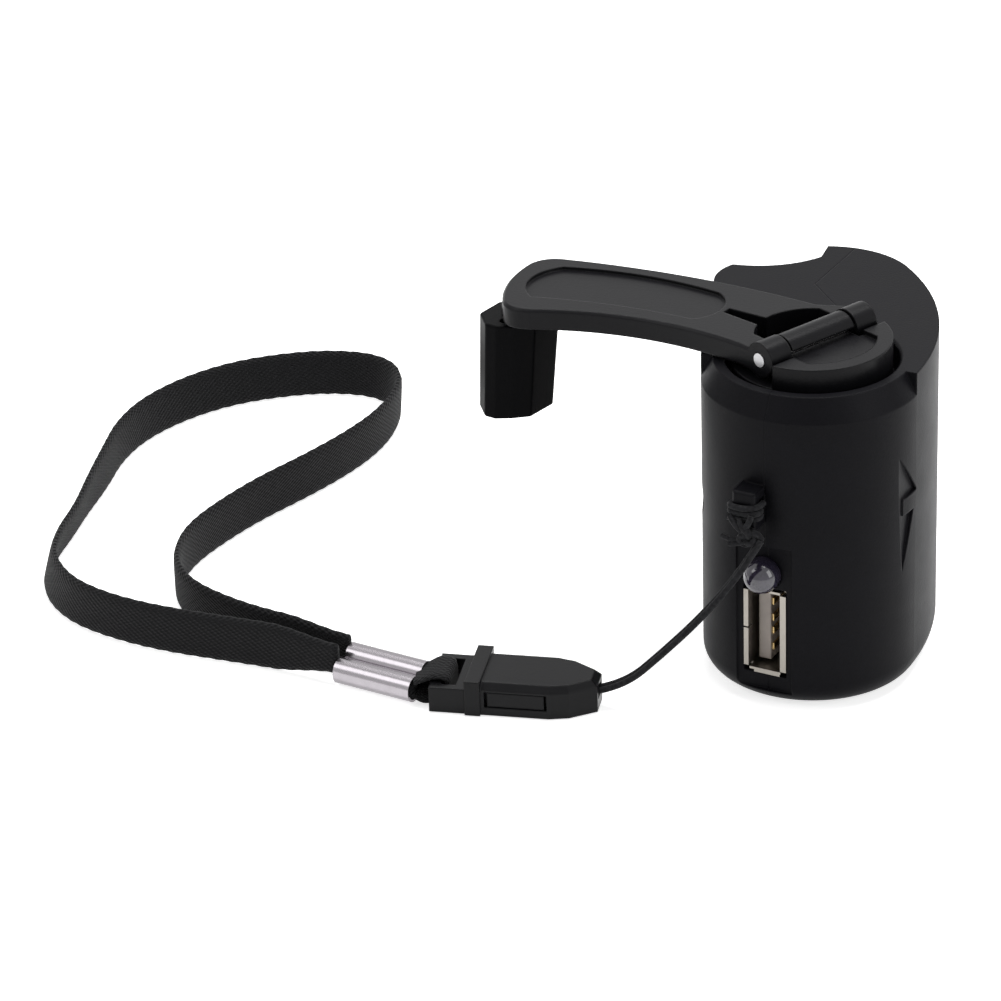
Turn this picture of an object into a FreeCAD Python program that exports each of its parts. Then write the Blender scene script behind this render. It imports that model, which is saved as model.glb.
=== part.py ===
import FreeCAD, Part
import math
import os

import Sketcher

# A pocket generator that charges a phone. A folding crank on top turns a
# speed-up gear train, which spins a small generator. The body is a split
# shell with a comma-shaped plan. Its front is a drum with the outlet, a lamp
# and a lug that holds a cord, a release buckle and a wrist strap.
#
# Frame: the crank axis is Z and the floor is Z = 0. The outlet looks along -Y.

# Driving dimensions, in millimetres and degrees
SIZES = (
    ("body_height", 46.9),
    ("drum_radius", 15.3),
    ("wall", 1.8),
    ("floor_wall", 2.0),
    ("drum_chamfer_in", 1.65),
    ("drum_chamfer_down", 3.3),
    ("recess_radius", 12.0),
    ("recess_depth", 4.0),
    ("cap_wall", 1.8),
    ("left_wall_angle", 203.0),
    ("right_wall_angle", 2.3),
    ("right_wall_radius", 44.0),
    ("right_wall_end", 50.0),
    ("back_radius", 12.6),
    ("back_end", 114.0),
    ("scallop_radius", 13.9),
    ("scallop_x", -25.4),
    ("scallop_y", 36.7),
    ("corner_rounding", 1.2),
    ("bottom_rounding", 3.5),
    ("rim_chamfer", 0.35),
    ("seam_step_start", 12.4),
    ("seam_step_end", 21.6),
    ("seam_back_x", -9.7),
    ("outlet_x", -0.5),
    ("socket_height", 11.0),
    ("socket_width", 5.7),
    ("socket_length", 12.7),
    ("socket_depth", 14.0),
    ("socket_metal", 0.35),
    ("outlet_margin", 0.4),
    ("pocket_face", 14.3),
    ("pocket_width", 8.4),
    ("pocket_bottom", 2.0),
    ("pocket_top", 24.5),
    ("lamp_height", 20.0),
    ("lamp_radius", 2.5),
    ("lug_width", 3.4),
    ("lug_reach", 3.1),
    ("lug_bottom", 28.2),
    ("lug_top", 33.8),
    ("lug_bar", 1.3),
    ("facet_depth", 0.5),
    ("case_screw_radius", 1.1),
    ("case_screw_head", 2.2),
    ("case_boss_radius", 2.5),
    ("front_screw_y", -6.6),
    ("front_screw_z", 25.5),
    ("low_screw_y", 22.0),
    ("low_screw_z", 4.6),
    ("high_screw_y", 27.6),
    ("high_screw_z", 35.5),
    ("running_gap", 0.06),
    ("fixed_gap", 0.02),
    ("disc_radius", 11.0),
    ("disc_lift", 0.3),
    ("disc_thickness", 3.1),
    ("moon_height", 3.4),
    ("moon_start", 3.2),
    ("hub_radius", 3.4),
    ("gear_seat_radius", 2.4),
    ("hinge_turn", 68.4),
    ("hinge_rise", 2.4),
    ("barrel_radius", 2.35),
    ("barrel_length", 11.5),
    ("knuckle_radius", 2.5),
    ("knuckle_length", 3.7),
    ("knuckle_gap", 0.4),
    ("pin_radius", 1.0),
    ("arm_lift", 0.4),
    ("arm_thickness", 3.0),
    ("fork_radius", 8.0),
    ("panel_depth", 0.5),
    ("knob_x", -19.2),
    ("knob_y", 39.3),
    ("knob_length", 14.6),
    ("knob_lean", 0.9),
    ("post_radius", 1.6),
    ("knob_screw_radius", 0.8),
    ("knob_screw_head", 1.9),
    ("module_size", 0.4),
    ("drive_teeth", 50.0),
    ("wheel_teeth", 40.0),
    ("pinion_teeth", 12.0),
    ("generator_teeth", 10.0),
    ("first_stage_right", 5.6),
    ("generator_right", 5.0),
    ("generator_back", 20.6),
    ("plate_thickness", 1.2),
    ("plate_edge_gap", 0.4),
    ("plate_top_gap", 0.2),
    ("drive_thickness", 2.3),
    ("wheel_thickness", 2.0),
    ("gear_gap", 0.5),
    ("axle_radius", 0.75),
    ("spacer_radius", 1.3),
    ("spacer_ring", 11.85),
    ("generator_radius", 8.8),
    ("generator_length", 20.0),
    ("generator_wall", 0.5),
    ("rotor_radius", 5.6),
    ("rotor_length", 12.0),
    ("board_thickness", 1.2),
    ("board_height", 19.6),
    ("board_length", 21.1),
    ("board_lift", 1.0),
    ("wire_diameter", 1.0),
    ("string_diameter", 0.9),
    ("strap_width", 7.2),
    ("strap_thickness", 1.1),
    ("buckle_length", 23.2),
    ("buckle_width", 10.0),
    ("buckle_height", 4.8),
    ("buckle_wall", 1.0),
    ("sleeve_length", 12.3),
    ("sleeve_height", 4.6),
    ("sleeve_lobe", 3.6),
    ("sleeve_metal", 0.35),
)

doc = FreeCAD.newDocument("HandCrankCharger")
sheet = doc.addObject("Spreadsheet::Sheet", "Sizes")
for row, (alias, number) in enumerate(SIZES, start=1):
    sheet.set(f"A{row}", alias)
    sheet.set(f"B{row}", str(number))
    sheet.setAlias(f"B{row}", alias)
doc.recompute()

Vector = FreeCAD.Vector
UP = (0, 0, 1)
ALONG_X = (1, 0, 0)
ALONG_BACK = (0, 1, 0)
FULL_TURN = 360.0
OVERSHOOT = 2.0


class Size:
    """A number that also knows the sheet formula it comes from."""

    def __init__(self, value, text):
        self.value = value
        self.text = text

    def __add__(self, other):
        other = as_size(other)
        return Size(self.value + other.value, f"({self.text} + {other.text})")

    def __sub__(self, other):
        other = as_size(other)
        return Size(self.value - other.value, f"({self.text} - {other.text})")

    def __mul__(self, other):
        other = as_size(other)
        return Size(self.value * other.value, f"({self.text} * {other.text})")

    def __truediv__(self, other):
        other = as_size(other)
        return Size(self.value / other.value, f"({self.text} / {other.text})")

    def __neg__(self):
        return as_size(0) - self

    def __radd__(self, other):
        return as_size(other) + self

    def __rsub__(self, other):
        return as_size(other) - self

    def __rmul__(self, other):
        return as_size(other) * self


def as_size(number):
    if isinstance(number, Size):
        return number
    return Size(float(number), f"({float(number)})")


def size(alias):
    return Size(float(sheet.get(alias)), f"Sizes.{alias}")


def length(alias):
    return size(alias).value


def bind(thing, prop, amount):
    """Ties a property to the sheet."""
    thing.setExpression(prop, as_size(amount).text)


def place(thing, x=0, y=0, z=0, axis=UP, turn=0):
    """Puts a thing at a spot, its own Z along the axis, turned about UP afterwards."""
    spot = [as_size(value) for value in (x, y, z)]
    lean = FreeCAD.Rotation(Vector(0, 0, 1), Vector(*axis))
    spin = FreeCAD.Rotation(Vector(0, 0, 1), as_size(turn).value)
    where = Vector(*[value.value for value in spot])
    thing.Placement = FreeCAD.Placement(where, spin.multiply(lean))
    for letter, value in zip("xyz", spot):
        thing.setExpression("Placement.Base." + letter, value.text)
    return thing


# Primitive shapes and booleans
def cylinder(name, radius, height, x=0, y=0, z=0, axis=UP):
    thing = doc.addObject("Part::Cylinder", name)
    bind(thing, "Radius", radius)
    bind(thing, "Height", height)
    return place(thing, x, y, z, axis)


def box(name, x_low, x_high, y_low, y_high, z_low, z_high):
    thing = doc.addObject("Part::Box", name)
    bind(thing, "Length", as_size(x_high) - x_low)
    bind(thing, "Width", as_size(y_high) - y_low)
    bind(thing, "Height", as_size(z_high) - z_low)
    return place(thing, x_low, y_low, z_low)


def cut(name, base, tool):
    thing = doc.addObject("Part::Cut", name)
    thing.Base = base
    thing.Tool = tool
    return thing


def common(name, base, tool):
    thing = doc.addObject("Part::Common", name)
    thing.Base = base
    thing.Tool = tool
    return thing


def fuse(name, pieces):
    thing = doc.addObject("Part::MultiFuse", name)
    thing.Shapes = pieces
    thing.Refine = True
    return thing


def group(name, pieces):
    thing = doc.addObject("Part::Compound", name)
    thing.Links = pieces
    return thing


def shaped(name, shape):
    thing = doc.addObject("Part::Feature", name)
    thing.Shape = shape
    return thing


# Sketched bodies: a padded outline, and a profile turned about the Z axis
def origin_plane(body, role):
    for plane in body.Origin.OriginFeatures:
        if plane.Role == role:
            return plane
    raise ValueError(role)


def fix_point(sketch, geometry, vertex, x, y):
    for kind, value in (("DistanceX", as_size(x)), ("DistanceY", as_size(y))):
        index = sketch.addConstraint(
            Sketcher.Constraint(kind, -1, 1, geometry, vertex, value.value))
        sketch.setExpression(f"Constraints[{index}]", value.text)


def upright_arc(start, middle, end):
    """An arc that runs anticlockwise, and whether it begins at the start."""
    centre = Part.Arc(start, middle, end).toShape().Curve.Center
    onward = middle.sub(start)
    beyond = end.sub(middle)
    forward = onward.x * beyond.y - onward.y * beyond.x > 0
    first, last = (start, end) if forward else (end, start)
    from_turn = math.atan2(first.y - centre.y, first.x - centre.x)
    to_turn = math.atan2(last.y - centre.y, last.x - centre.x)
    if to_turn < from_turn:
        to_turn += 2 * math.pi
    circle = Part.Circle(centre, Vector(0, 0, 1), centre.distanceToPoint(start))
    return Part.ArcOfCircle(circle, from_turn, to_turn), forward


def draw_outline(sketch, corners, bulges):
    """Lines between corners; a bulge gives the middle point of an arc after a corner."""
    spots = [Vector(as_size(x).value, as_size(y).value, 0) for x, y in corners]
    count = len(corners)
    starts = []
    for number in range(count):
        here = spots[number]
        there = spots[(number + 1) % count]
        if number in bulges:
            middle = Vector(bulges[number][0], bulges[number][1], 0)
            arc, forward = upright_arc(here, middle, there)
            index = sketch.addGeometry(arc, False)
            starts.append((index, 1 if forward else 2, 2 if forward else 1))
            sketch.addConstraint(Sketcher.Constraint("Radius", index, arc.Radius))
        else:
            index = sketch.addGeometry(Part.LineSegment(here, there), False)
            starts.append((index, 1, 2))
    for number in range(count):
        index, first, last = starts[number]
        following, next_first, _ = starts[(number + 1) % count]
        sketch.addConstraint(
            Sketcher.Constraint("Coincident", index, last, following, next_first))
        fix_point(sketch, index, first, corners[number][0], corners[number][1])


def draw_hole(sketch, x, y, radius):
    amount = as_size(radius)
    centre = Vector(as_size(x).value, as_size(y).value, 0)
    index = sketch.addGeometry(Part.Circle(centre, Vector(0, 0, 1), amount.value), False)
    number = sketch.addConstraint(Sketcher.Constraint("Radius", index, amount.value))
    sketch.setExpression(f"Constraints[{number}]", amount.text)
    fix_point(sketch, index, 3, x, y)


def new_sketch(body, name, role):
    sketch = body.newObject("Sketcher::SketchObject", name)
    sketch.AttachmentSupport = [(origin_plane(body, role), "")]
    sketch.MapMode = "FlatFace"
    return sketch


def padded(name, corners, height, bulges=None, holes=()):
    body = doc.addObject("PartDesign::Body", name)
    sketch = new_sketch(body, name + "_outline", "XY_Plane")
    draw_outline(sketch, corners, bulges or {})
    for x, y, radius in holes:
        draw_hole(sketch, x, y, radius)
    pad = body.newObject("PartDesign::Pad", name + "_pad")
    pad.Profile = sketch
    bind(pad, "Length", height)
    body.Tip = pad
    return body


def turned(name, profile):
    body = doc.addObject("PartDesign::Body", name)
    sketch = new_sketch(body, name + "_profile", "XZ_Plane")
    draw_outline(sketch, profile, {})
    lathe = body.newObject("PartDesign::Revolution", name + "_turning")
    lathe.Profile = sketch
    lathe.ReferenceAxis = (sketch, ["V_Axis"])
    lathe.Angle = FULL_TURN
    body.Tip = lathe
    return body


def rectangle(x_low, x_high, y_low, y_high):
    return [(x_low, y_low), (x_high, y_low), (x_high, y_high), (x_low, y_high)]


def on_circle(radius, angle, centre=(0.0, 0.0)):
    turn = math.radians(angle)
    return (centre[0] + radius * math.cos(turn), centre[1] + radius * math.sin(turn))


def line_edge(start, end):
    return Part.LineSegment(Vector(*start), Vector(*end)).toShape()


def arc_edge(start, middle, end):
    return Part.Arc(Vector(*start), Vector(*middle), Vector(*end)).toShape()


subparts = []


def finish(name, thing):
    """Names a finished sub-part."""
    thing.Label = name
    subparts.append(thing)
    return thing


# Heights up the body, from the floor
body_top = size("body_height")
recess_floor = body_top - size("recess_depth")
cap_underside = recess_floor - size("cap_wall")
ceiling = body_top - size("wall")
top_plate_high = cap_underside - size("plate_top_gap")
top_plate_low = top_plate_high - size("plate_thickness")
drive_high = top_plate_low - size("gear_gap")
drive_low = drive_high - size("drive_thickness")
first_wheel_high = drive_low - size("gear_gap") * 1.6
first_wheel_low = first_wheel_high - size("wheel_thickness")
second_wheel_high = first_wheel_low - size("gear_gap") * 1.6
second_wheel_low = second_wheel_high - size("wheel_thickness")
base_plate_high = second_wheel_low - size("gear_gap") * 1.6
base_plate_low = base_plate_high - size("plate_thickness")
generator_high = base_plate_low
generator_low = generator_high - size("generator_length")
hinge_height = body_top + size("hinge_rise")
disc_low = recess_floor + size("disc_lift")
disc_high = disc_low + size("disc_thickness")
arm_low = body_top + size("arm_lift")
arm_high = arm_low + size("arm_thickness")

# Gear axes: the train turns back from the drum, then to the generator
VIEW_TURN = 25.0


def plan_spot(right, back):
    """A plan position given along the body's slanted length."""
    turn = math.radians(VIEW_TURN)
    x = right * math.cos(turn) - back * math.sin(turn)
    y = right * math.sin(turn) + back * math.cos(turn)
    return (x, y)


def meshing_distance(first_teeth, second_teeth):
    return length("module_size") * (first_teeth + second_teeth) / 2


drive_teeth = int(length("drive_teeth"))
wheel_teeth = int(length("wheel_teeth"))
pinion_teeth = int(length("pinion_teeth"))
generator_teeth = int(length("generator_teeth"))
first_reach = meshing_distance(drive_teeth, pinion_teeth)
second_reach = meshing_distance(wheel_teeth, pinion_teeth)
third_reach = meshing_distance(wheel_teeth, generator_teeth)
first_right = length("first_stage_right")
first_back = math.sqrt(first_reach ** 2 - first_right ** 2)
generator_right = length("generator_right")
generator_back = length("generator_back")
span = math.hypot(generator_right - first_right, generator_back - first_back)
along = (second_reach ** 2 - third_reach ** 2 + span ** 2) / (2 * span)
aside = math.sqrt(second_reach ** 2 - along ** 2)
toward = ((generator_right - first_right) / span, (generator_back - first_back) / span)
second_right = first_right + along * toward[0] - aside * toward[1]
second_back = first_back + along * toward[1] + aside * toward[0]
first_axis = plan_spot(first_right, first_back)
second_axis = plan_spot(second_right, second_back)
generator_axis = plan_spot(generator_right, generator_back)

# The plan outline of the body
drum_radius = length("drum_radius")
HOOK_ANGLE = -26.0
LEFT_CORNER_ANGLE = -81.0


def body_outline():
    """Left wall, drum front, right wall, back, horn and scallop."""
    scallop = (length("scallop_x"), length("scallop_y"))
    scallop_radius = length("scallop_radius")
    right_angle = length("right_wall_angle")
    right_radius = length("right_wall_radius")
    right_end = length("right_wall_end")
    back_radius = length("back_radius")
    back_end = length("back_end")
    left_start = on_circle(drum_radius, length("left_wall_angle"))
    left_bend = (-22.8, 16.0)
    left_bulge = (-23.9, 19.7)
    right_start = on_circle(drum_radius, right_angle)
    right_centre = on_circle(drum_radius - right_radius, right_angle)
    right_stop = on_circle(right_radius, right_end, right_centre)
    right_middle = on_circle(right_radius, (right_angle + right_end) / 2, right_centre)
    back_centre = on_circle(-back_radius, right_end, right_stop)
    back_middle = on_circle(back_radius, (right_end + back_end) / 2, back_centre)
    horn = on_circle(back_radius, back_end, back_centre)
    hook = on_circle(scallop_radius, HOOK_ANGLE, scallop)
    hollow = on_circle(scallop_radius, -55.0, scallop)
    left_corner = on_circle(scallop_radius, LEFT_CORNER_ANGLE, scallop)
    return Part.Wire([
        arc_edge(left_corner + (0,), left_bulge + (0,), left_bend + (0,)),
        line_edge(left_bend + (0,), left_start + (0,)),
        arc_edge(left_start + (0,), (0, -drum_radius, 0), right_start + (0,)),
        arc_edge(right_start + (0,), right_middle + (0,), right_stop + (0,)),
        arc_edge(right_stop + (0,), back_middle + (0,), horn + (0,)),
        line_edge(horn + (0,), hook + (0,)),
        arc_edge(hook + (0,), hollow + (0,), left_corner + (0,)),
    ])


def near_horn(edge):
    """The scallop's own bottom edges stay sharp."""
    middle = edge.CenterOfMass
    from_scallop = math.hypot(middle.x - length("scallop_x"), middle.y - length("scallop_y"))
    return from_scallop < length("scallop_radius") + 2.0


def upright_near(shape, spot):
    found = []
    for edge in shape.Edges:
        bounds = edge.BoundBox
        upright = bounds.XLength < 1e-3 and bounds.YLength < 1e-3
        middle = edge.CenterOfMass
        if upright and math.hypot(middle.x - spot[0], middle.y - spot[1]) < 0.6:
            found.append(edge)
    return found


def rounded(shape, radius, edges):
    """Rounds edges with the wanted radius, or the nearest smaller one that closes up."""
    for share in (1.0, 0.96, 0.9, 0.8, 0.7, 0.6, 0.5, 0.4):
        try:
            result = shape.makeFillet(radius * share, edges)
        except Part.OCCError:
            continue
        if result.isValid() and len(result.Solids) == 1:
            return result
    raise RuntimeError("no rounding closes up")


outline = body_outline()
block_shape = Part.Face(outline).extrude(Vector(0, 0, length("body_height")))
bottom_edges = []
for edge in block_shape.Edges:
    if edge.BoundBox.ZMax < 1e-6 and not near_horn(edge):
        bottom_edges.append(edge)
block_shape = rounded(block_shape, length("bottom_rounding"), bottom_edges)
scallop_centre = (length("scallop_x"), length("scallop_y"))
corner_edges = []
for corner_angle in (LEFT_CORNER_ANGLE, HOOK_ANGLE):
    spot = on_circle(length("scallop_radius"), corner_angle, scallop_centre)
    corner_edges += upright_near(block_shape, spot)
block_shape = rounded(block_shape, length("corner_rounding"), corner_edges)
block = shaped("body_block", block_shape)

inner_outline = outline.makeOffset2D(-length("wall"))
inner_height = (ceiling - size("floor_wall")).value
cavity_shape = Part.Face(inner_outline).extrude(Vector(0, 0, inner_height))
cavity_shape.translate(Vector(0, 0, length("floor_wall")))
cavity = shaped("body_cavity", cavity_shape)

# The front edge of the drum is chamfered where it stands free of the back
chamfer_ring = turned("drum_chamfer", [
    (size("drum_radius") - size("drum_chamfer_in"), body_top),
    (size("drum_radius") + 6.0, body_top),
    (size("drum_radius") + 6.0, body_top - size("drum_chamfer_down")),
    (size("drum_radius"), body_top - size("drum_chamfer_down")),
])
chamfer_side = shaped("chamfer_side", Part.Face(Part.makePolygon([
    Vector(-40, -40, 0),
    Vector(40, -40, 0),
    Vector(*on_circle(drum_radius * 3, length("right_wall_angle")), 0),
    Vector(0, 0, 0),
    Vector(*on_circle(drum_radius * 3, length("left_wall_angle")), 0),
    Vector(-40, -40, 0),
])).extrude(Vector(0, 0, length("body_height") + OVERSHOOT)))
chamfer_cut = common("chamfer_cut", chamfer_ring, chamfer_side)
recess_tub = cylinder("recess_tub", size("recess_radius") + size("wall"),
                      body_top - cap_underside, 0, 0, cap_underside)
recess = cylinder("recess", size("recess_radius"), size("recess_depth") + OVERSHOOT,
                  0, 0, recess_floor)
open_cavity = cut("open_cavity", cavity, recess_tub)
hollow_block = cut("hollow_block", block, open_cavity)
chamfered = cut("chamfered_block", hollow_block, chamfer_cut)
rim_cone = turned("rim_cone", [
    (size("recess_radius") - 1.0, body_top - size("rim_chamfer") - 1.0),
    (size("recess_radius") + size("rim_chamfer") + 0.5, body_top + 0.5),
    (size("recess_radius") - 1.0, body_top + 0.5),
])
recessed = cut("recessed_block", chamfered, fuse("recess_cuts", [recess, rim_cone]))
hub_bore = cylinder("hub_bore", size("hub_radius") + size("running_gap"),
                    size("cap_wall") + OVERSHOOT, 0, 0, cap_underside - 1.0)

# The front pocket, the outlet and the lamp hole
half_socket = size("socket_width") / 2
half_length = size("socket_length") / 2
outlet_low = size("socket_height") - half_length
outlet_high = size("socket_height") + half_length
outlet_x = size("outlet_x")
pocket = box("outlet_pocket", outlet_x - size("pocket_width") / 2,
             outlet_x + size("pocket_width") / 2, -size("drum_radius") - 1.0, -size("pocket_face"),
             size("pocket_bottom"), size("pocket_top"))
outlet_hole = box("outlet_hole",
                  outlet_x - half_socket - size("outlet_margin"),
                  outlet_x + half_socket + size("outlet_margin"),
                  -size("drum_radius") - 1.0, -size("drum_radius") + 4.0,
                  outlet_low - size("outlet_margin"), outlet_high + size("outlet_margin"))
lamp_hole = cylinder("lamp_hole", size("lamp_radius") + size("fixed_gap"), 6.0,
                     outlet_x, -size("drum_radius") - 1.0, size("lamp_height"), ALONG_BACK)

# A flat pointed facet on the drum's right side: flush on the left, a step at its point
facet_spots = ((-16.4, 36.5), (3.0, 29.5), (-11.5, 18.3))
facet_corners = [Vector(0, on_circle(drum_radius, angle)[1], height)
                 for angle, height in facet_spots]
facet_prism = shaped("facet_prism", Part.Face(Part.makePolygon(
    facet_corners + [facet_corners[0]])).extrude(Vector(40, 0, 0)))
facet_start = on_circle(drum_radius, -15.0)
facet_point = on_circle(drum_radius, 3.0)
facet_slope = padded("facet_slope", [
    facet_start,
    (facet_point[0] + 6.0, facet_start[1]),
    (facet_point[0] + 6.0, facet_point[1] + 1.0),
    (size("drum_radius") * 0.9986 - size("facet_depth"), facet_point[1]),
], body_top)
facet_cut = common("facet_cut", facet_prism, facet_slope)

openings = fuse("shell_openings", [hub_bore, pocket, outlet_hole, lamp_hole, facet_cut])
pierced = cut("pierced_block", recessed, openings)

# The seam: straight at the front, stepped to the left further back
seam_face = Part.Face(Part.makePolygon([
    Vector(0, -40, 0),
    Vector(0, length("seam_step_start"), 0),
    Vector(length("seam_back_x"), length("seam_step_end"), 0),
    Vector(length("seam_back_x"), 60, 0),
    Vector(-60, 60, 0),
    Vector(-60, -40, 0),
    Vector(0, -40, 0),
]))
left_side = shaped("left_side", seam_face.extrude(Vector(0, 0, length("body_height") + 10)))
left_half = common("left_half", pierced, left_side)
right_half = cut("right_half", pierced, left_side)

# Screw bosses run across the seam, with the heads sunk in the left wall
screw_spots = (
    ("front", size("front_screw_y"), size("front_screw_z"), as_size(0), 9.0, 9.0),
    ("low", size("low_screw_y"), size("low_screw_z"), size("seam_back_x"), 12.5, 10.5),
    ("high", size("high_screw_y"), size("high_screw_z"), size("seam_back_x"), 3.2, 8.0),
)
body_slug = shaped("body_slug", block_shape)
left_bosses = []
right_bosses = []
screw_holes = []
pilot_holes = []
case_screws = []
for name, boss_y, boss_z, seam_x, head_reach, thread_reach in screw_spots:
    left_bosses.append(cylinder(name + "_left_boss", size("case_boss_radius"), 40.0,
                                seam_x - 40.0, boss_y, boss_z, ALONG_X))
    right_bosses.append(cylinder(name + "_right_boss", size("case_boss_radius"), 40.0,
                                 seam_x, boss_y, boss_z, ALONG_X))
    clear_hole = cylinder(name + "_clear_hole", size("case_screw_radius") + size("fixed_gap"),
                          40.0, seam_x - 40.0, boss_y, boss_z, ALONG_X)
    head_hole = cylinder(name + "_head_hole", size("case_screw_head") + 0.2, 40.0,
                         seam_x - head_reach - 40.0, boss_y, boss_z, ALONG_X)
    screw_holes.append(clear_hole)
    screw_holes.append(head_hole)
    pilot_holes.append(cylinder(name + "_pilot_hole",
                                size("case_screw_radius") + size("fixed_gap"),
                                thread_reach, seam_x, boss_y, boss_z, ALONG_X))
    screw = turned(name + "_screw", [
        (0, -as_size(head_reach) - 1.6),
        (size("case_screw_head"), -as_size(head_reach) - 1.6),
        (size("case_screw_head"), -as_size(head_reach)),
        (size("case_screw_radius"), -as_size(head_reach)),
        (size("case_screw_radius"), as_size(thread_reach) - 0.5),
        (0, as_size(thread_reach) - 0.5),
    ])
    case_screws.append(place(screw, seam_x, boss_y, boss_z, ALONG_X))

# Ledges under the base plate and a rail under the board
ledge_low = base_plate_low - 2.5
right_ledge = box("right_ledge", 11.0, 16.0, -3.0, 3.0, ledge_low, base_plate_low)
left_ledge = box("left_ledge", -22.0, -15.6, 2.0, 8.0, ledge_low, base_plate_low)
back_ledge = box("back_ledge", -8.0, -3.0, 31.0, 40.0, ledge_low, base_plate_low)
board_rail = box("board_rail", -6.0, -1.0, -9.0, 6.0, size("floor_wall") - 0.5,
                 size("floor_wall") + size("board_lift"))

left_boss_stock = common("left_boss_stock", fuse("left_boss_group", left_bosses), body_slug)
right_boss_stock = common("right_boss_stock", fuse("right_boss_group", right_bosses),
                          shaped("body_slug_right", block_shape))
left_ledge_stock = common("left_ledge_stock", fuse("left_ledge_group", [left_ledge, board_rail]),
                          shaped("body_slug_left_ledge", block_shape))
left_ledge_trim = common("left_ledge_trim", left_ledge_stock,
                         shaped("left_side_copy", left_side.Shape))
right_ledge_stock = common("right_ledge_stock",
                           fuse("right_ledge_group", [right_ledge, back_ledge]),
                           shaped("body_slug_right_ledge", block_shape))

# The cord lug stands on the left shell, beside the seam
lug_right = as_size(-0.05)
lug_left = lug_right - size("lug_width")
lug_face = size("drum_radius") + size("lug_reach")
lug_leg = 1.4
lug_block = box("lug_block", lug_left, lug_right, -lug_face, -size("drum_radius") + 1.2,
                size("lug_bottom"), size("lug_top"))
lug_gap = box("lug_gap", lug_left - 1.0, lug_right + 1.0,
              -lug_face + size("lug_bar"), -size("drum_radius"),
              size("lug_bottom") + lug_leg, size("lug_top") - lug_leg)
lug_stock = cut("lug_stock", lug_block, lug_gap)
doc.recompute()
lug_edges = [edge for edge in lug_stock.Shape.Edges
             if edge.BoundBox.YMax < -lug_face.value + 0.01]
lug = shaped("cord_lug", rounded(lug_stock.Shape, 0.45, lug_edges))

left_built = fuse("left_built", [left_half, left_boss_stock, left_ledge_trim, lug])
left_shell = finish("left_shell", cut("left_shell_solid", left_built,
                                      fuse("left_drillings", screw_holes)))
right_boss_trim = cut("right_boss_trim", right_boss_stock, facet_cut)
right_built = fuse("right_built", [right_half, right_boss_trim, right_ledge_stock])
right_shell = finish("right_shell", cut("right_shell_solid", right_built,
                                        fuse("right_drillings", pilot_holes)))
finish("case_screws", group("case_screw_set", case_screws))


# Crank disc: a turned hub and plate, a raised half-moon and the hinge barrel
disc_body = turned("disc_turning", [
    (0, drive_low + 0.1),
    (size("gear_seat_radius"), drive_low + 0.1),
    (size("gear_seat_radius"), drive_high),
    (size("hub_radius"), drive_high),
    (size("hub_radius"), disc_low),
    (size("disc_radius"), disc_low),
    (size("disc_radius"), disc_high),
    (0, disc_high),
])
moon_disc = cylinder("moon_disc", size("disc_radius"), size("moon_height"), 0, 0, disc_high)
moon_side = box("moon_side", -12.0, 12.0, -12.0, -size("moon_start"), disc_high,
                disc_high + size("moon_height"))
half_moon = common("half_moon", moon_disc, moon_side)
moon_pocket = common("moon_pocket",
                     cylinder("moon_pocket_round", size("disc_radius") - 2.2, 1.0, 0, 0,
                              disc_high + size("moon_height") - 0.7),
                     box("moon_pocket_side", -6.5, 6.5, -12.0, 0.0, disc_high,
                         disc_high + size("moon_height") + 1.0))
half_barrel = size("barrel_length") / 2
barrel = cylinder("hinge_barrel", size("barrel_radius"), size("barrel_length"),
                  -half_barrel, 0, hinge_height, ALONG_X)
barrel_web = box("barrel_web", -half_barrel, half_barrel, -size("moon_start") - 0.5,
                 size("barrel_radius"), disc_high - 0.5, hinge_height)
disc_solid = fuse("disc_solid", [disc_body, half_moon, barrel_web, barrel])
barrel_bore = cylinder("barrel_bore", size("pin_radius") + size("running_gap"), 30.0,
                       -15.0, 0, hinge_height, ALONG_X)
crank_screw_length = 7.0
crank_pilot = cylinder("crank_pilot", size("knob_screw_radius") + 0.2 + size("fixed_gap"),
                       crank_screw_length, 0, 0, drive_low)
crank_disc = cut("crank_disc_solid", disc_solid,
                 fuse("disc_cuts", [moon_pocket, barrel_bore, crank_pilot]))
finish("crank_disc", place(crank_disc, turn=size("hinge_turn")))

crank_screw = turned("crank_screw_turning", [
    (0, drive_low - 1.1),
    (size("gear_seat_radius") + 0.4, drive_low - 1.1),
    (size("gear_seat_radius") + 0.4, drive_low),
    (size("knob_screw_radius") + 0.2, drive_low),
    (size("knob_screw_radius") + 0.2, drive_low + crank_screw_length - 0.4),
    (0, drive_low + crank_screw_length - 0.4),
])
finish("crank_screw", crank_screw)

# Crank arm: a flat curved lever, forked round the barrel, with a sunk panel on top
half_fork = half_barrel + size("knuckle_gap") + size("knuckle_length")
fork_inner = half_barrel + size("knuckle_gap")
arm_corners = [
    (-half_fork, 0),
    (-half_fork, 4.2),
    (-23.4, 32.5),
    (-25.2, 35.2),
    (-9.8, 45.0),
    (-8.0, 42.1),
    (6.9, 6.6),
    (half_fork, 3.0),
    (half_fork, 0),
]
arm_bulges = {1: (-13.5, 18.2), 3: (-18.2, 42.4), 5: (0.5, 25.9)}
arm_plate = place(padded("arm_plate", arm_corners, size("arm_thickness"), arm_bulges),
                  0, 0, arm_low)
doc.recompute()
tip_corners = ((arm_corners[3], 3.5), (arm_corners[4], 4.6))
tip_edges = []
for number, edge in enumerate(arm_plate.Shape.Edges, start=1):
    middle = edge.CenterOfMass
    upright = edge.BoundBox.XLength < 1e-3 and edge.BoundBox.YLength < 1e-3
    for corner, rounding in tip_corners:
        if upright and math.hypot(middle.x - corner[0], middle.y - corner[1]) < 0.1:
            tip_edges.append((number, rounding, rounding))
rounded_arm = doc.addObject("Part::Fillet", "rounded_arm")
rounded_arm.Base = arm_plate
rounded_arm.Edges = tip_edges
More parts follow.
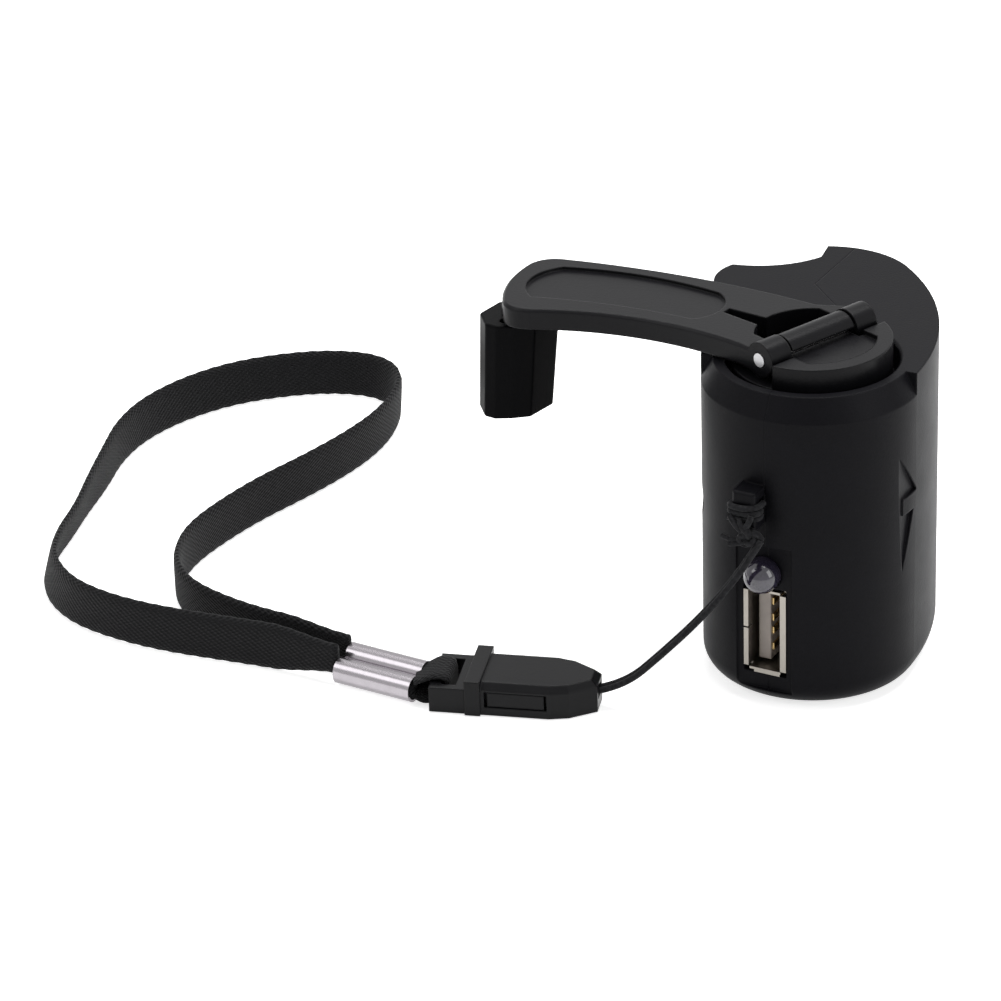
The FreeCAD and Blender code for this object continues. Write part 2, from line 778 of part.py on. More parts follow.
doc.recompute()
arm_rims = []
for number, edge in enumerate(rounded_arm.Shape.Edges, start=1):
    level = edge.BoundBox.ZLength < 1e-3
    high = edge.CenterOfMass.z > arm_high.value - 0.01
    if level and high and edge.CenterOfMass.y > 4.3:
        arm_rims.append((number, 0.35, 0.35))
chamfered_arm = doc.addObject("Part::Chamfer", "chamfered_arm")
chamfered_arm.Base = rounded_arm
chamfered_arm.Edges = arm_rims
knuckles = []
for side, start in (("near", -half_fork), ("far", fork_inner)):
    knuckles.append(cylinder(side + "_knuckle", size("knuckle_radius"),
                             size("knuckle_length"), start, 0, hinge_height, ALONG_X))
fork_round = cylinder("fork_round", size("fork_radius"), size("arm_thickness") + OVERSHOOT,
                      0, 0, arm_low - 1.0)
fork_strip = box("fork_strip", -fork_inner, fork_inner, -9.0, 12.0, arm_low - 3.0,
                 arm_high + 3.0)
fork_opening = common("fork_opening", fork_round, fork_strip)
fork_slot = place(padded("fork_slot", [(-3.6, 6.0), (-0.8, 6.2), (-2.8, 13.7), (-4.3, 13.3)],
                         size("arm_thickness") + OVERSHOOT), 0, 0, arm_low - 1.0)
panel = place(padded("arm_panel", [(-0.3, 18.6), (-8.9, 14.7), (-20.1, 35.6), (-10.2, 40.2)],
                     size("panel_depth") + 1.0,
                     {0: (-3.4, 14.4), 1: (-11.8, 22.0), 2: (-16.0, 40.4), 3: (-4.1, 30.5)}),
              0, 0, arm_high - size("panel_depth"))
knob_drop = 1.1
knob_post_low = arm_low - 12.2
knob_post = cylinder("knob_post", size("post_radius"), arm_low - knob_post_low + 0.5,
                     size("knob_x"), size("knob_y"), knob_post_low)
knob_collar = cylinder("knob_collar", size("post_radius") + 0.9, knob_drop + 0.3,
                       size("knob_x"), size("knob_y"), arm_low - knob_drop + 0.2)
arm_solid = fuse("arm_solid", [chamfered_arm, knob_post, knob_collar])
arm_cleared = cut("arm_cleared", arm_solid, fuse("arm_cuts", [fork_opening, fork_slot, panel]))
arm_hinged = fuse("arm_hinged", [arm_cleared] + knuckles)
pin_hole = cylinder("pin_hole", size("pin_radius") + size("fixed_gap"), 30.0, -15.0, 0,
                    hinge_height, ALONG_X)
post_pilot = cylinder("post_pilot", size("knob_screw_radius") + size("fixed_gap"), 8.0,
                      size("knob_x"), size("knob_y"), knob_post_low)
crank_arm = cut("crank_arm_solid", arm_hinged, fuse("arm_drillings", [pin_hole, post_pilot]))
finish("crank_arm", place(crank_arm, turn=size("hinge_turn")))

pin_overhang = 0.15
hinge_pin = turned("hinge_pin_turning", [
    (0, -half_fork - pin_overhang),
    (size("pin_radius"), -half_fork - pin_overhang),
    (size("pin_radius"), half_fork + pin_overhang),
    (0, half_fork + pin_overhang),
])
finish("hinge_pin", place(hinge_pin, 0, 0, hinge_height, ALONG_X, size("hinge_turn")))

# Knob: a faceted grip that hangs from the arm tip and turns on the post
knob_turn = math.radians(length("hinge_turn") - VIEW_TURN)


def knob_section(shift, taper, height):
    """The knob's rounded plan, in the hinge's own directions."""
    corners = ((-5.6, 0.3), (-4.6, -3.5), (-3.0, -4.5), (-0.6, -4.4), (2.4, -3.7),
               (5.6, 0.8), (4.6, 3.7), (0.5, 4.9), (-3.1, 4.1))
    points = []
    for right, back in corners:
        right = right * taper
        back = back * taper
        x = right * math.cos(knob_turn) + back * math.sin(knob_turn)
        y = -right * math.sin(knob_turn) + back * math.cos(knob_turn)
        spot_x = length("knob_x") + x - shift * 0.47
        spot_y = length("knob_y") + y + shift * 0.88
        points.append(Vector(spot_x, spot_y, height))
    return Part.makePolygon(points + [points[0]])


knob_high = (arm_low - knob_drop).value
knob_low = knob_high - length("knob_length")
knob_loft = Part.makeLoft([knob_section(0.0, 1.0, knob_high),
                           knob_section(length("knob_lean"), 0.93, knob_low)], True, True)
knob_edges = [edge for edge in knob_loft.Edges if edge.BoundBox.ZLength > 5.0]
knob_loft = rounded(knob_loft, 0.6, knob_edges)
knob_rims = [edge for edge in knob_loft.Edges if edge.BoundBox.ZLength < 0.1]
knob_loft = rounded(knob_loft, 0.3, knob_rims)
knob_block = shaped("knob_block", knob_loft)
knob_bore = cylinder("knob_bore", size("post_radius") + size("running_gap"), 30.0,
                     size("knob_x"), size("knob_y"), arm_low - 25.0)
knob_sink = cylinder("knob_sink", size("knob_screw_head") + 0.3, 20.0,
                     size("knob_x"), size("knob_y"), knob_post_low - 20.0 + 0.2)
knob_dimple = cylinder("knob_dimple", 0.85, 3.0, size("knob_x") - 3.0, size("knob_y") - 0.6,
                       arm_low - 2.6)
knob = cut("knob_solid", knob_block, fuse("knob_cuts", [knob_bore, knob_sink, knob_dimple]))
finish("knob", place(knob, turn=size("hinge_turn")))

knob_screw = turned("knob_screw_turning", [
    (0, -1.2),
    (size("knob_screw_head"), -1.2),
    (size("knob_screw_head"), 0),
    (size("knob_screw_radius"), 0),
    (size("knob_screw_radius"), 7.0),
    (0, 7.0),
])
knob_screw = place(knob_screw, size("knob_x"), size("knob_y"), knob_post_low)
finish("knob_screw", place(group("knob_screw_set", [knob_screw]), turn=size("hinge_turn")))


# Gears
PRESSURE_ANGLE = 20.0
WHEEL_ADDENDUM = 0.6
PINION_ADDENDUM = 1.0
DEDENDUM = 1.2
TOOTH_FILL = 0.9


def involute(angle):
    return math.tan(angle) - angle


def gear_wire(teeth, addendum, phase):
    """A closed outline of involute teeth, with one tooth at the phase angle."""
    pitch = length("module_size") * teeth / 2
    base = pitch * math.cos(math.radians(PRESSURE_ANGLE))
    tip = pitch + addendum * length("module_size")
    root = pitch - DEDENDUM * length("module_size")
    half = math.pi / (2 * teeth) * TOOTH_FILL + involute(math.radians(PRESSURE_ANGLE))
    low = max(base, root)
    radii = [low + (tip - low) * step / 4 for step in range(5)]
    flank = [(radius, half - involute(math.acos(min(1.0, base / radius)))) for radius in radii]
    if root < low:
        flank.insert(0, (root, flank[0][1]))
    points = []
    for tooth in range(teeth):
        middle = math.radians(phase) + 2 * math.pi * tooth / teeth
        for radius, spread in flank:
            points.append((radius, middle - spread))
        for radius, spread in reversed(flank):
            points.append((radius, middle + spread))
    spots = [Vector(radius * math.cos(turn), radius * math.sin(turn), 0)
             for radius, turn in points]
    return Part.makePolygon(spots + [spots[0]])


def gear_solid(name, teeth, addendum, phase, low, high, spot):
    face = Part.Face(gear_wire(teeth, addendum, phase))
    solid = face.extrude(Vector(0, 0, high - low))
    solid.translate(Vector(spot[0], spot[1], low))
    return shaped(name, solid)


def partner_phase(phase, teeth, partner_teeth, start, end):
    """The phase of a gear in mesh with another one, from centre to centre."""
    heading = math.degrees(math.atan2(end[1] - start[1], end[0] - start[0]))
    return heading + 180.0 + 180.0 / partner_teeth - (phase - heading) * teeth / partner_teeth


drive_phase = 0.0
first_phase = partner_phase(drive_phase, drive_teeth, pinion_teeth, (0, 0), first_axis)
second_phase = partner_phase(first_phase, wheel_teeth, pinion_teeth, first_axis, second_axis)
generator_phase = partner_phase(second_phase, wheel_teeth, generator_teeth,
                                second_axis, generator_axis)

drive_blank = gear_solid("drive_teeth_solid", drive_teeth, WHEEL_ADDENDUM, drive_phase,
                         drive_low.value, drive_high.value, (0, 0))
drive_bore = cylinder("drive_bore", size("gear_seat_radius") + size("fixed_gap"), 10.0,
                      0, 0, drive_low - 1.0)
finish("drive_gear", cut("drive_gear_solid", drive_blank, drive_bore))


def reduction_gear(name, spot, phase, wheel_low, wheel_high, pinion_high, foot):
    """A wheel and pinion moulded in one, with a short foot that keeps its height."""
    wheel = gear_solid(name + "_wheel", wheel_teeth, WHEEL_ADDENDUM, phase,
                       wheel_low.value, wheel_high.value, spot)
    pinion = gear_solid(name + "_pinion", pinion_teeth, PINION_ADDENDUM, phase,
                        wheel_high.value - 0.5, pinion_high.value, spot)
    hub = cylinder(name + "_hub", 1.6, wheel_low - foot + 0.5, spot[0], spot[1], foot)
    bore = cylinder(name + "_bore", size("axle_radius") + size("running_gap"), 30.0,
                    spot[0], spot[1], foot - 5.0)
    body = fuse(name + "_body", [wheel, pinion, hub])
    return finish(name, cut(name + "_solid", body, bore))


foot_height = base_plate_high + 0.2
reduction_gear("first_reduction_gear", first_axis, first_phase,
               first_wheel_low, first_wheel_high, drive_high, foot_height)
reduction_gear("second_reduction_gear", second_axis, second_phase,
               second_wheel_low, second_wheel_high, first_wheel_high + 0.3, foot_height)
axle_length = top_plate_high - base_plate_low
for name, spot in (("first_axle", first_axis), ("second_axle", second_axis)):
    axle = turned(name + "_turning", [
        (0, 0),
        (size("axle_radius"), 0),
        (size("axle_radius"), axle_length),
        (0, axle_length),
    ])
    finish(name, place(axle, spot[0], spot[1], base_plate_low))

# Gearbox plates follow the body's inside
plate_wire = outline.makeOffset2D(-length("wall") - length("plate_edge_gap"))
spacer_spots = [
    on_circle(length("spacer_ring"), -70.0),
    on_circle(length("spacer_ring"), 215.0),
    (9.7, 8.4),
    (-15.2, 22.5),
]
bushing_radius = size("axle_radius") + 2.0


def gear_plate(name, low, bores):
    blank_shape = Part.Face(plate_wire).extrude(Vector(0, 0, length("plate_thickness")))
    blank_shape.translate(Vector(0, 0, low.value))
    blank = shaped(name + "_blank", blank_shape)
    holes = []
    for number, (spot, radius) in enumerate(bores):
        holes.append(cylinder(f"{name}_bore_{number}", radius, 6.0, spot[0], spot[1], low - 2.0))
    return finish(name, cut(name + "_solid", blank, fuse(name + "_bores", holes)))


axle_hole = size("axle_radius") + size("fixed_gap")
screw_hole = size("knob_screw_radius") + size("fixed_gap")
gear_plate("gearbox_top_plate", top_plate_low,
           [((0, 0), size("hub_radius") + size("running_gap")),
            (first_axis, axle_hole), (second_axis, axle_hole)])
motor_heading = math.degrees(math.atan2(second_axis[1] - generator_axis[1],
                                        second_axis[0] - generator_axis[0]))
mount_spots = [on_circle(5.6, motor_heading + 90.0, generator_axis),
               on_circle(5.6, motor_heading - 90.0, generator_axis)]
gear_plate("gearbox_base_plate", base_plate_low,
           [(first_axis, axle_hole), (second_axis, axle_hole),
            (generator_axis, bushing_radius + size("fixed_gap"))]
           + [(spot, screw_hole) for spot in spacer_spots + mount_spots])
spacers = []
spacer_screws = []
for number, spot in enumerate(spacer_spots):
    spacer = turned(f"spacer_{number}", [
        (size("knob_screw_radius") + size("fixed_gap"), 0),
        (size("spacer_radius"), 0),
        (size("spacer_radius"), top_plate_low - base_plate_high),
        (size("knob_screw_radius") + size("fixed_gap"), top_plate_low - base_plate_high),
    ])
    spacers.append(place(spacer, spot[0], spot[1], base_plate_high))
    screw = turned(f"spacer_screw_{number}", [
        (0, -1.0),
        (1.5, -1.0),
        (1.5, 0),
        (size("knob_screw_radius"), 0),
        (size("knob_screw_radius"), 6.5),
        (0, 6.5),
    ])
    spacer_screws.append(place(screw, spot[0], spot[1], base_plate_low))
finish("gearbox_spacers", group("spacer_set", spacers))
finish("gearbox_screws", group("spacer_screw_set", spacer_screws))

# Generator
gx, gy = generator_axis
can_inner = size("generator_radius") - size("generator_wall")
can = turned("generator_can_turning", [
    (size("axle_radius") + 1.4, generator_high - size("generator_wall")),
    (size("axle_radius") + 1.4, generator_high),
    (size("generator_radius"), generator_high),
    (size("generator_radius"), generator_low),
    (can_inner, generator_low),
    (can_inner, generator_high - size("generator_wall")),
])
can_holes = fuse("can_holes", [
    cylinder(f"can_hole_{number}", screw_hole, 4.0, spot[0], spot[1], generator_high - 2.0)
    for number, spot in enumerate(mount_spots)])
finish("generator_can", cut("generator_can_solid", place(can, gx, gy, 0), can_holes))
bushing = turned("generator_bushing_turning", [
    (size("axle_radius") + size("running_gap"), generator_high - 2.0),
    (size("axle_radius") + 1.35, generator_high - 2.0),
    (size("axle_radius") + 1.35, generator_high),
    (bushing_radius, generator_high),
    (bushing_radius, base_plate_high),
    (size("axle_radius") + size("running_gap"), base_plate_high),
])
finish("generator_bushing", place(bushing, gx, gy, 0))
cap_thickness = 1.5
end_cap = turned("generator_end_cap_turning", [
    (size("axle_radius") + size("running_gap"), generator_low - cap_thickness),
    (can_inner, generator_low - cap_thickness),
    (can_inner, generator_low),
    (size("axle_radius") + size("running_gap"), generator_low),
])
end_cap_rim = turned("generator_cap_rim", [
    (can_inner - 0.6, generator_low - 0.2),
    (can_inner - size("fixed_gap"), generator_low - 0.2),
    (can_inner - size("fixed_gap"), generator_low + 1.4),
    (can_inner - 0.6, generator_low + 1.4),
])
finish("generator_end_cap", place(fuse("generator_end_cap_solid", [end_cap, end_cap_rim]),
                                  gx, gy, 0))
pinion_high = second_wheel_high + 0.3
shaft_low = generator_low - cap_thickness
shaft = turned("rotor_shaft_turning", [
    (0, shaft_low),
    (size("axle_radius"), shaft_low),
    (size("axle_radius"), pinion_high),
    (0, pinion_high),
])
finish("rotor_shaft", place(shaft, gx, gy, 0))
core_low = (generator_low + generator_high - size("rotor_length")) / 2
core_high = core_low + size("rotor_length")
core_sides = []
for pole in range(3):
    slot_spot = on_circle(length("rotor_radius"), pole * 120.0, (gx, gy))
    core_sides.append(cylinder(f"rotor_slot_{pole}", 1.1, size("rotor_length") + OVERSHOOT,
                               slot_spot[0], slot_spot[1], core_low - 1.0))
core_blank = cylinder("rotor_core_blank", size("rotor_radius"), size("rotor_length"),
                      gx, gy, core_low)
core_bore = cylinder("rotor_core_bore", size("axle_radius") + size("fixed_gap"), 30.0,
                     gx, gy, core_low - 5.0)
finish("rotor_core", cut("rotor_core_solid", core_blank,
                         fuse("rotor_core_cuts", core_sides + [core_bore])))
windings = []
for side, low in (("low", core_low - 1.2), ("high", core_high)):
    ring = turned(f"winding_{side}", [
        (size("axle_radius") + 0.8, low),
        (size("rotor_radius") - 0.9, low),
        (size("rotor_radius") - 0.9, low + 1.2),
        (size("axle_radius") + 0.8, low + 1.2),
    ])
    windings.append(place(ring, gx, gy, 0))
finish("rotor_windings", group("winding_set", windings))
commutator = turned("commutator_turning", [
    (size("axle_radius") + size("fixed_gap"), generator_low + 0.4),
    (2.0, generator_low + 0.4),
    (2.0, core_low - 1.3),
    (size("axle_radius") + size("fixed_gap"), core_low - 1.3),
])
finish("commutator", place(commutator, gx, gy, 0))
brushes = [
    box("left_brush", gx - 3.4, gx - 2.1, gy - 0.9, gy + 0.9, generator_low,
        generator_low + 2.4),
    box("right_brush", gx + 2.1, gx + 3.4, gy - 0.9, gy + 0.9, generator_low,
        generator_low + 2.4),
]
finish("generator_brushes", group("brush_set", brushes))
magnet_ring = turned("magnet_ring", [
    (size("rotor_radius") + 0.7, core_low - 0.5),
    (can_inner - 0.05, core_low - 0.5),
    (can_inner - 0.05, core_high + 0.5),
    (size("rotor_radius") + 0.7, core_high + 0.5),
])
magnet_gap = box("magnet_gap", -1.6, 1.6, -12.0, 12.0, generator_low, generator_high)
finish("generator_magnets", place(cut("generator_magnets_solid", magnet_ring, magnet_gap),
                                  gx, gy, 0))
pinion_blank = gear_solid("generator_pinion_teeth", generator_teeth, PINION_ADDENDUM,
                          generator_phase, (second_wheel_low - 0.3).value,
                          pinion_high.value, generator_axis)
pinion_bore = cylinder("generator_pinion_bore", size("axle_radius") + size("fixed_gap"), 20.0,
                       gx, gy, second_wheel_low - 5.0)
finish("generator_pinion", cut("generator_pinion_solid", pinion_blank, pinion_bore))
mount_screws = []
for number, spot in enumerate(mount_spots):
    screw = turned(f"generator_screw_{number}", [
        (0, 0.9),
        (1.5, 0.9),
        (1.5, 0),
        (size("knob_screw_radius"), 0),
        (size("knob_screw_radius"), -size("plate_thickness") - 1.2),
        (0, -size("plate_thickness") - 1.2),
    ])
    mount_screws.append(place(screw, spot[0], spot[1], base_plate_high))
finish("generator_screws", group("generator_screw_set", mount_screws))
terminal_offset = 4.3
terminal_y = gy - 5.3
terminal_low = generator_low - cap_thickness - 2.4
terminals = []
for side in (-1, 1):
    middle = gx + side * terminal_offset
    terminals.append(box(f"terminal_{side + 1}", middle - 1.0, middle + 1.0,
                         terminal_y - 0.25, terminal_y + 0.25, terminal_low,
                         generator_low - cap_thickness))
finish("generator_terminals", group("terminal_set", terminals))

# Circuit board, standing on edge beside the outlet
board_right = outlet_x - half_socket
board_left = board_right - size("board_thickness")
board_low = size("floor_wall") + size("board_lift")
board_front = as_size(-12.0)
board_back = board_front + size("board_length")
board_high = board_low + size("board_height")
finish("circuit_board", box("circuit_board_solid", board_left, board_right, board_front,
                            board_back, board_low, board_high))
capacitor = turned("capacitor_turning", [
    (0, 0), (3.1, 0), (3.1, 0.9), (2.85, 1.2), (2.85, 1.5), (3.1, 1.8), (3.1, 7.6), (0, 7.6),
])
finish("capacitor", place(capacitor, board_left, 2.0, 14.0, (-1, 0, 0)))
diodes = []
for number in range(4):
    diodes.append(cylinder(f"diode_{number}", 0.9, 4.0, board_left - 0.9 - size("fixed_gap"),
                           -10.6 + 2.3 * number, 8.0))
finish("rectifier_diodes", group("diode_set", diodes))
finish("charge_controller", box("charge_controller_solid", board_right, board_right + 1.5,
                                2.0, 6.0, 10.0, 15.0))
finish("lamp_resistor", cylinder("lamp_resistor_solid", 0.8, 3.6,
                                 board_right + 0.8 + size("fixed_gap"), 3.0, 17.5))

# Outlet socket
socket_front = -size("pocket_face") - 0.1
socket_back = socket_front + size("socket_depth")
socket_block = box("socket_block", outlet_x - half_socket, outlet_x + half_socket, socket_front, socket_back,
                   outlet_low, outlet_high)
socket_hollow = box("socket_hollow", outlet_x - half_socket + size("socket_metal"),
                    outlet_x + half_socket - size("socket_metal"), socket_front - 1.0,
                    socket_back - size("socket_metal"), outlet_low + size("socket_metal"),
                    outlet_high - size("socket_metal"))
lip_depth = 0.4
lip_reach = size("outlet_margin") - 0.05
lips = [
    box("left_lip", outlet_x - half_socket - lip_reach, outlet_x - half_socket + 0.1,
        socket_front, socket_front + lip_depth, outlet_low + 0.3, outlet_high - 0.3),
    box("right_lip", outlet_x + half_socket - size("socket_metal") - 0.2,
        outlet_x + half_socket + lip_reach, socket_front, socket_front + lip_depth,
        outlet_low + 0.3, outlet_high - 0.3),
    box("bottom_lip", outlet_x - half_socket + 1.2, outlet_x + half_socket - 0.6,
        socket_front, socket_front + lip_depth, outlet_low - lip_reach, outlet_low + 0.1),
]
lip_slits = [
    box(f"corner_slit_{number}", middle - 0.5, middle + 0.5, socket_front - 1.0,
        socket_front + 1.3, height - 0.45, height + 0.45)
    for number, (middle, height) in enumerate((
        (outlet_x - half_socket, outlet_low), (outlet_x - half_socket, outlet_high),
        (outlet_x + half_socket, outlet_low), (outlet_x + half_socket, outlet_high)))]
lip_slits.append(box("middle_slit", outlet_x - half_socket - 1.0, outlet_x - half_socket + 0.6,
                     socket_front - 1.0, socket_front + 1.3, size("socket_height") - 0.12,
                     size("socket_height") + 0.12))
socket_shell = cut("socket_shell", socket_block, socket_hollow)
finish("outlet_shell", cut("outlet_shell_solid", fuse("socket_with_lips", [socket_shell] + lips),
                           fuse("socket_slits", lip_slits)))
inner_side = half_socket - size("socket_metal") - size("fixed_gap")
inner_end = half_length - size("socket_metal") - size("fixed_gap")
tongue_back = socket_back - size("socket_metal") - size("fixed_gap")
tongue_front = socket_front + 2.0
tongue_left = outlet_x - inner_side
tongue_right = tongue_left + 2.5
tongue_root = box("tongue_root", tongue_left, outlet_x + inner_side, tongue_back - 4.0, tongue_back,
                  size("socket_height") - inner_end, size("socket_height") + inner_end)
tongue_blade = box("tongue_blade", tongue_left + 0.7, tongue_right, tongue_front,
                   tongue_back - 3.5, size("socket_height") - 5.4, size("socket_height") + 5.4)
finish("outlet_tongue", fuse("outlet_tongue_solid", [tongue_root, tongue_blade]))
contacts = []
for number, offset in enumerate((-3.5, -1.0, 1.0, 3.5)):
    middle = size("socket_height") + offset
    contacts.append(box(f"contact_{number}", tongue_right, tongue_right + 0.25,
                        tongue_front + 0.4, tongue_back - 4.0, middle - 0.5, middle + 0.5))
finish("outlet_contacts", group("contact_set", contacts))

# Lamp and its leads
lamp_dome_start = 3.2
lamp_body = cylinder("lamp_body", size("lamp_radius"), lamp_dome_start, 0, 0, 0)
lamp_dome = doc.addObject("Part::Sphere", "lamp_dome")
bind(lamp_dome, "Radius", size("lamp_radius"))
place(lamp_dome, 0, 0, lamp_dome_start)
lamp_flange = cylinder("lamp_flange", size("lamp_radius") + 0.25, 0.8, 0, 0, 0)
lamp_floor = box("lamp_floor", -4.0, 4.0, -4.0, 4.0, -4.0, 0)
lamp_solid = cut("lamp_solid", fuse("lamp_stack", [lamp_body, lamp_dome, lamp_flange]), lamp_floor)
lamp_back = -size("drum_radius") + size("wall") + 1.3
place(lamp_solid, outlet_x, lamp_back, size("lamp_height"), (0, -1, 0))
lamp_flat = box("lamp_flat", outlet_x - 4.0, outlet_x + 4.0, lamp_back - 1.5, lamp_back + 1.0,
                size("lamp_height") - 5.0, outlet_high + 0.1)
finish("indicator_lamp", cut("lamp_trimmed", lamp_solid, lamp_flat))
leads = []
for number, (lead_x, stop_y) in enumerate(((outlet_x - 1.27, 2.0), (outlet_x + 1.27, 4.0))):
    run = box(f"lead_run_{number}", lead_x - 0.25, lead_x + 0.25, lamp_back,
              lamp_back + stop_y + 0.25, size("lamp_height") - 0.25, size("lamp_height") + 0.25)
    turn_in = box(f"lead_turn_{number}", board_right, lead_x + 0.25,
                  lamp_back + stop_y - 0.25, lamp_back + stop_y + 0.25,
                  size("lamp_height") - 0.25, size("lamp_height") + 0.25)
    leads.append(fuse(f"lead_{number}", [run, turn_in]))
finish("lamp_leads", group("lead_set", leads))


# Tubes along hand-chosen routes: straight runs joined by tangent arcs
def route_path(points, label):
    """Edges of a route, with the radius of each arc printed."""
    spots = [Vector(*point) for point in points]
    edges = []
    here = spots[0]
    radii = []
    for before, corner, after in zip(spots, spots[1:], spots[2:]):
        inward = corner.sub(before)
        outward = after.sub(corner)
        shorter = min(inward.Length, outward.Length)
        reach = 0.45 * shorter
        turn = inward.getAngle(outward)
        radius = reach / math.tan(turn / 2)
        radii.append(radius)
        inward.normalize()
        outward.normalize()
        start = corner.sub(inward * reach)
        end = corner.add(outward * reach)
        towards = outward.sub(inward)
        towards.normalize()
        centre = corner.add(towards * (radius / math.cos(turn / 2)))
        middle = centre.sub(towards * radius)
        edges.append(Part.LineSegment(here, start).toShape())
        edges.append(Part.Arc(start, middle, end).toShape())
        here = end
    edges.append(Part.LineSegment(here, spots[-1]).toShape())
    print(label, "arc radii", " ".join(f"{radius:.1f}" for radius in radii))
    return edges


def tube(name, points, diameter):
    """A round tube along a route."""
    path = Part.Wire(route_path(points, name))
    start = Vector(*points[0])
    heading = Vector(*points[1]).sub(start)
    ring = Part.Wire([Part.Circle(start, heading, diameter / 2).toShape()])
    solid = path.makePipeShell([ring], True, False)
    expected = math.pi * diameter ** 2 / 4 * path.Length
    print(name, f"length {path.Length:.1f} volume share {solid.Volume / expected:.4f}")
    return shaped(name, solid)


wire_height = (terminal_low + 1.0).value
wire_start_y = terminal_y - 0.25
left_wire_x = gx - terminal_offset
right_wire_x = gx + terminal_offset
wire_stop_y = 6.4
lead_wires = [
    tube("left_lead_wire", [
        (left_wire_x, wire_start_y, wire_height),
        (left_wire_x, wire_stop_y, wire_height),
        (board_left.value, wire_stop_y, wire_height),
    ], length("wire_diameter")),
    tube("right_lead_wire", [
        (right_wire_x, wire_start_y, wire_height),
        (right_wire_x, wire_stop_y, wire_height),
        (board_right.value, wire_stop_y, wire_height),
    ], length("wire_diameter")),
]
finish("generator_leads", group("lead_wire_set", lead_wires))

# The hitch that ties the cord to the lug
ring_low = size("lug_bottom") + lug_leg + 0.2
ring_high = size("lug_top") - lug_leg - 0.3
bar_front = -lug_face
bar_back = -lug_face + size("lug_bar")
hitch_gap = 0.08
hitch_outer = box("hitch_outer", lug_left - 1.0, lug_right + 1.0, bar_front - 1.0,
                  bar_back + 1.0, ring_low, ring_high)
hitch_inner = box("hitch_inner", lug_left - hitch_gap, lug_right + hitch_gap,
                  bar_front - hitch_gap, bar_back + hitch_gap, ring_low - 1.0, ring_high + 1.0)
hitch_ring = cut("hitch_ring", hitch_outer, hitch_inner)
hitch_stem = box("hitch_stem", lug_left + 0.6, lug_right + 0.3, bar_front - 1.0,
                 bar_front - 0.3, size("lug_bottom") - 1.0, ring_low + 0.4)
hitch_knot = doc.addObject("Part::Ellipsoid", "hitch_knot")
hitch_knot.Radius1 = 1.5
hitch_knot.Radius2 = 1.5
hitch_knot.Radius3 = 1.0
place(hitch_knot, lug_right - 0.85, bar_front - 0.75, size("lug_bottom") - 0.4)
hitch_trim = box("hitch_trim", lug_left - 2.0, lug_right + 2.0, bar_front - hitch_gap,
                 bar_front + 4.0, size("lug_bottom") - 6.0, size("lug_bottom") + 0.5)
hitch_solid = cut("hitch_solid", fuse("hitch_pieces", [hitch_ring, hitch_stem, hitch_knot]),
                  hitch_trim)
finish("lanyard_hitch", hitch_solid)

# Two strands of thin cord run down to the buckle's tip
STRING_ROUTE = (
    (1.2, -18.85, 27.6),
    (-1.4, -19.6, 22.6),
    (-6.6, -21.1, 15.2),
    (-12.2, -22.8, 8.8),
    (-17.2, -24.3, 3.6),
    (-20.9, -25.35, 2.5),
)
strand_gap = (0.19, -0.49, 0.0)
for name, side in (("lanyard_string_left", -1), ("lanyard_string_right", 1)):
    route = [tuple(value + side * shift for value, shift in zip(point, strand_gap))
             for point in STRING_ROUTE]
    finish(name, tube(name, route, length("string_diameter")))

# Release buckle, lying flat: local X runs from its tip towards the strap
BUCKLE_TIP = (-20.6, -25.3)
BUCKLE_HEADING = 197.5
half_width = size("buckle_width") / 2
joint_x = 18.1
nose = padded("buckle_nose", [
    (0, -1.9), (3.6, -4.3), (6.4, -half_width), (joint_x, -half_width),
    (joint_x, half_width), (6.4, half_width), (3.6, 4.3), (0, 1.9),
], size("buckle_height"))
doc.recompute()
nose_rims = []
for number, edge in enumerate(nose.Shape.Edges, start=1):
    flat = edge.BoundBox.ZLength < 1e-3
    high = edge.CenterOfMass.z > length("buckle_height") - 0.1
    if flat and high and edge.CenterOfMass.x < joint_x - 0.1:
        nose_rims.append((number, 0.9, 0.9))
nose_round = doc.addObject("Part::Chamfer", "nose_round")
nose_round.Base = nose
nose_round.Edges = nose_rims
nose_hollow = box("nose_hollow", 4.6, joint_x + 1.0, -half_width + size("buckle_wall"),
                  half_width - size("buckle_wall"), size("buckle_wall"),
                  size("buckle_height") - size("buckle_wall"))
side_window = box("side_window", 6.6, 15.4, -half_width - 1.0, half_width + 1.0,
                  size("buckle_wall") + 0.2, size("buckle_height") - size("buckle_wall") - 0.2)
cord_hole = box("cord_hole", -1.0, 2.6, -1.3, 1.3, 1.7, 3.4)
rib_depth = 0.45
collar = box("buckle_collar", joint_x - 2.2, joint_x, -half_width - rib_depth,
             half_width + rib_depth, 0, size("buckle_height") + rib_depth)
buckle_socket = cut("buckle_socket_solid", fuse("buckle_stock", [nose_round, collar]),
                    fuse("buckle_socket_cuts", [nose_hollow, side_window, cord_hole]))
buckle_socket = place(buckle_socket, BUCKLE_TIP[0], BUCKLE_TIP[1], 0, turn=BUCKLE_HEADING)
finish("buckle_socket", buckle_socket)

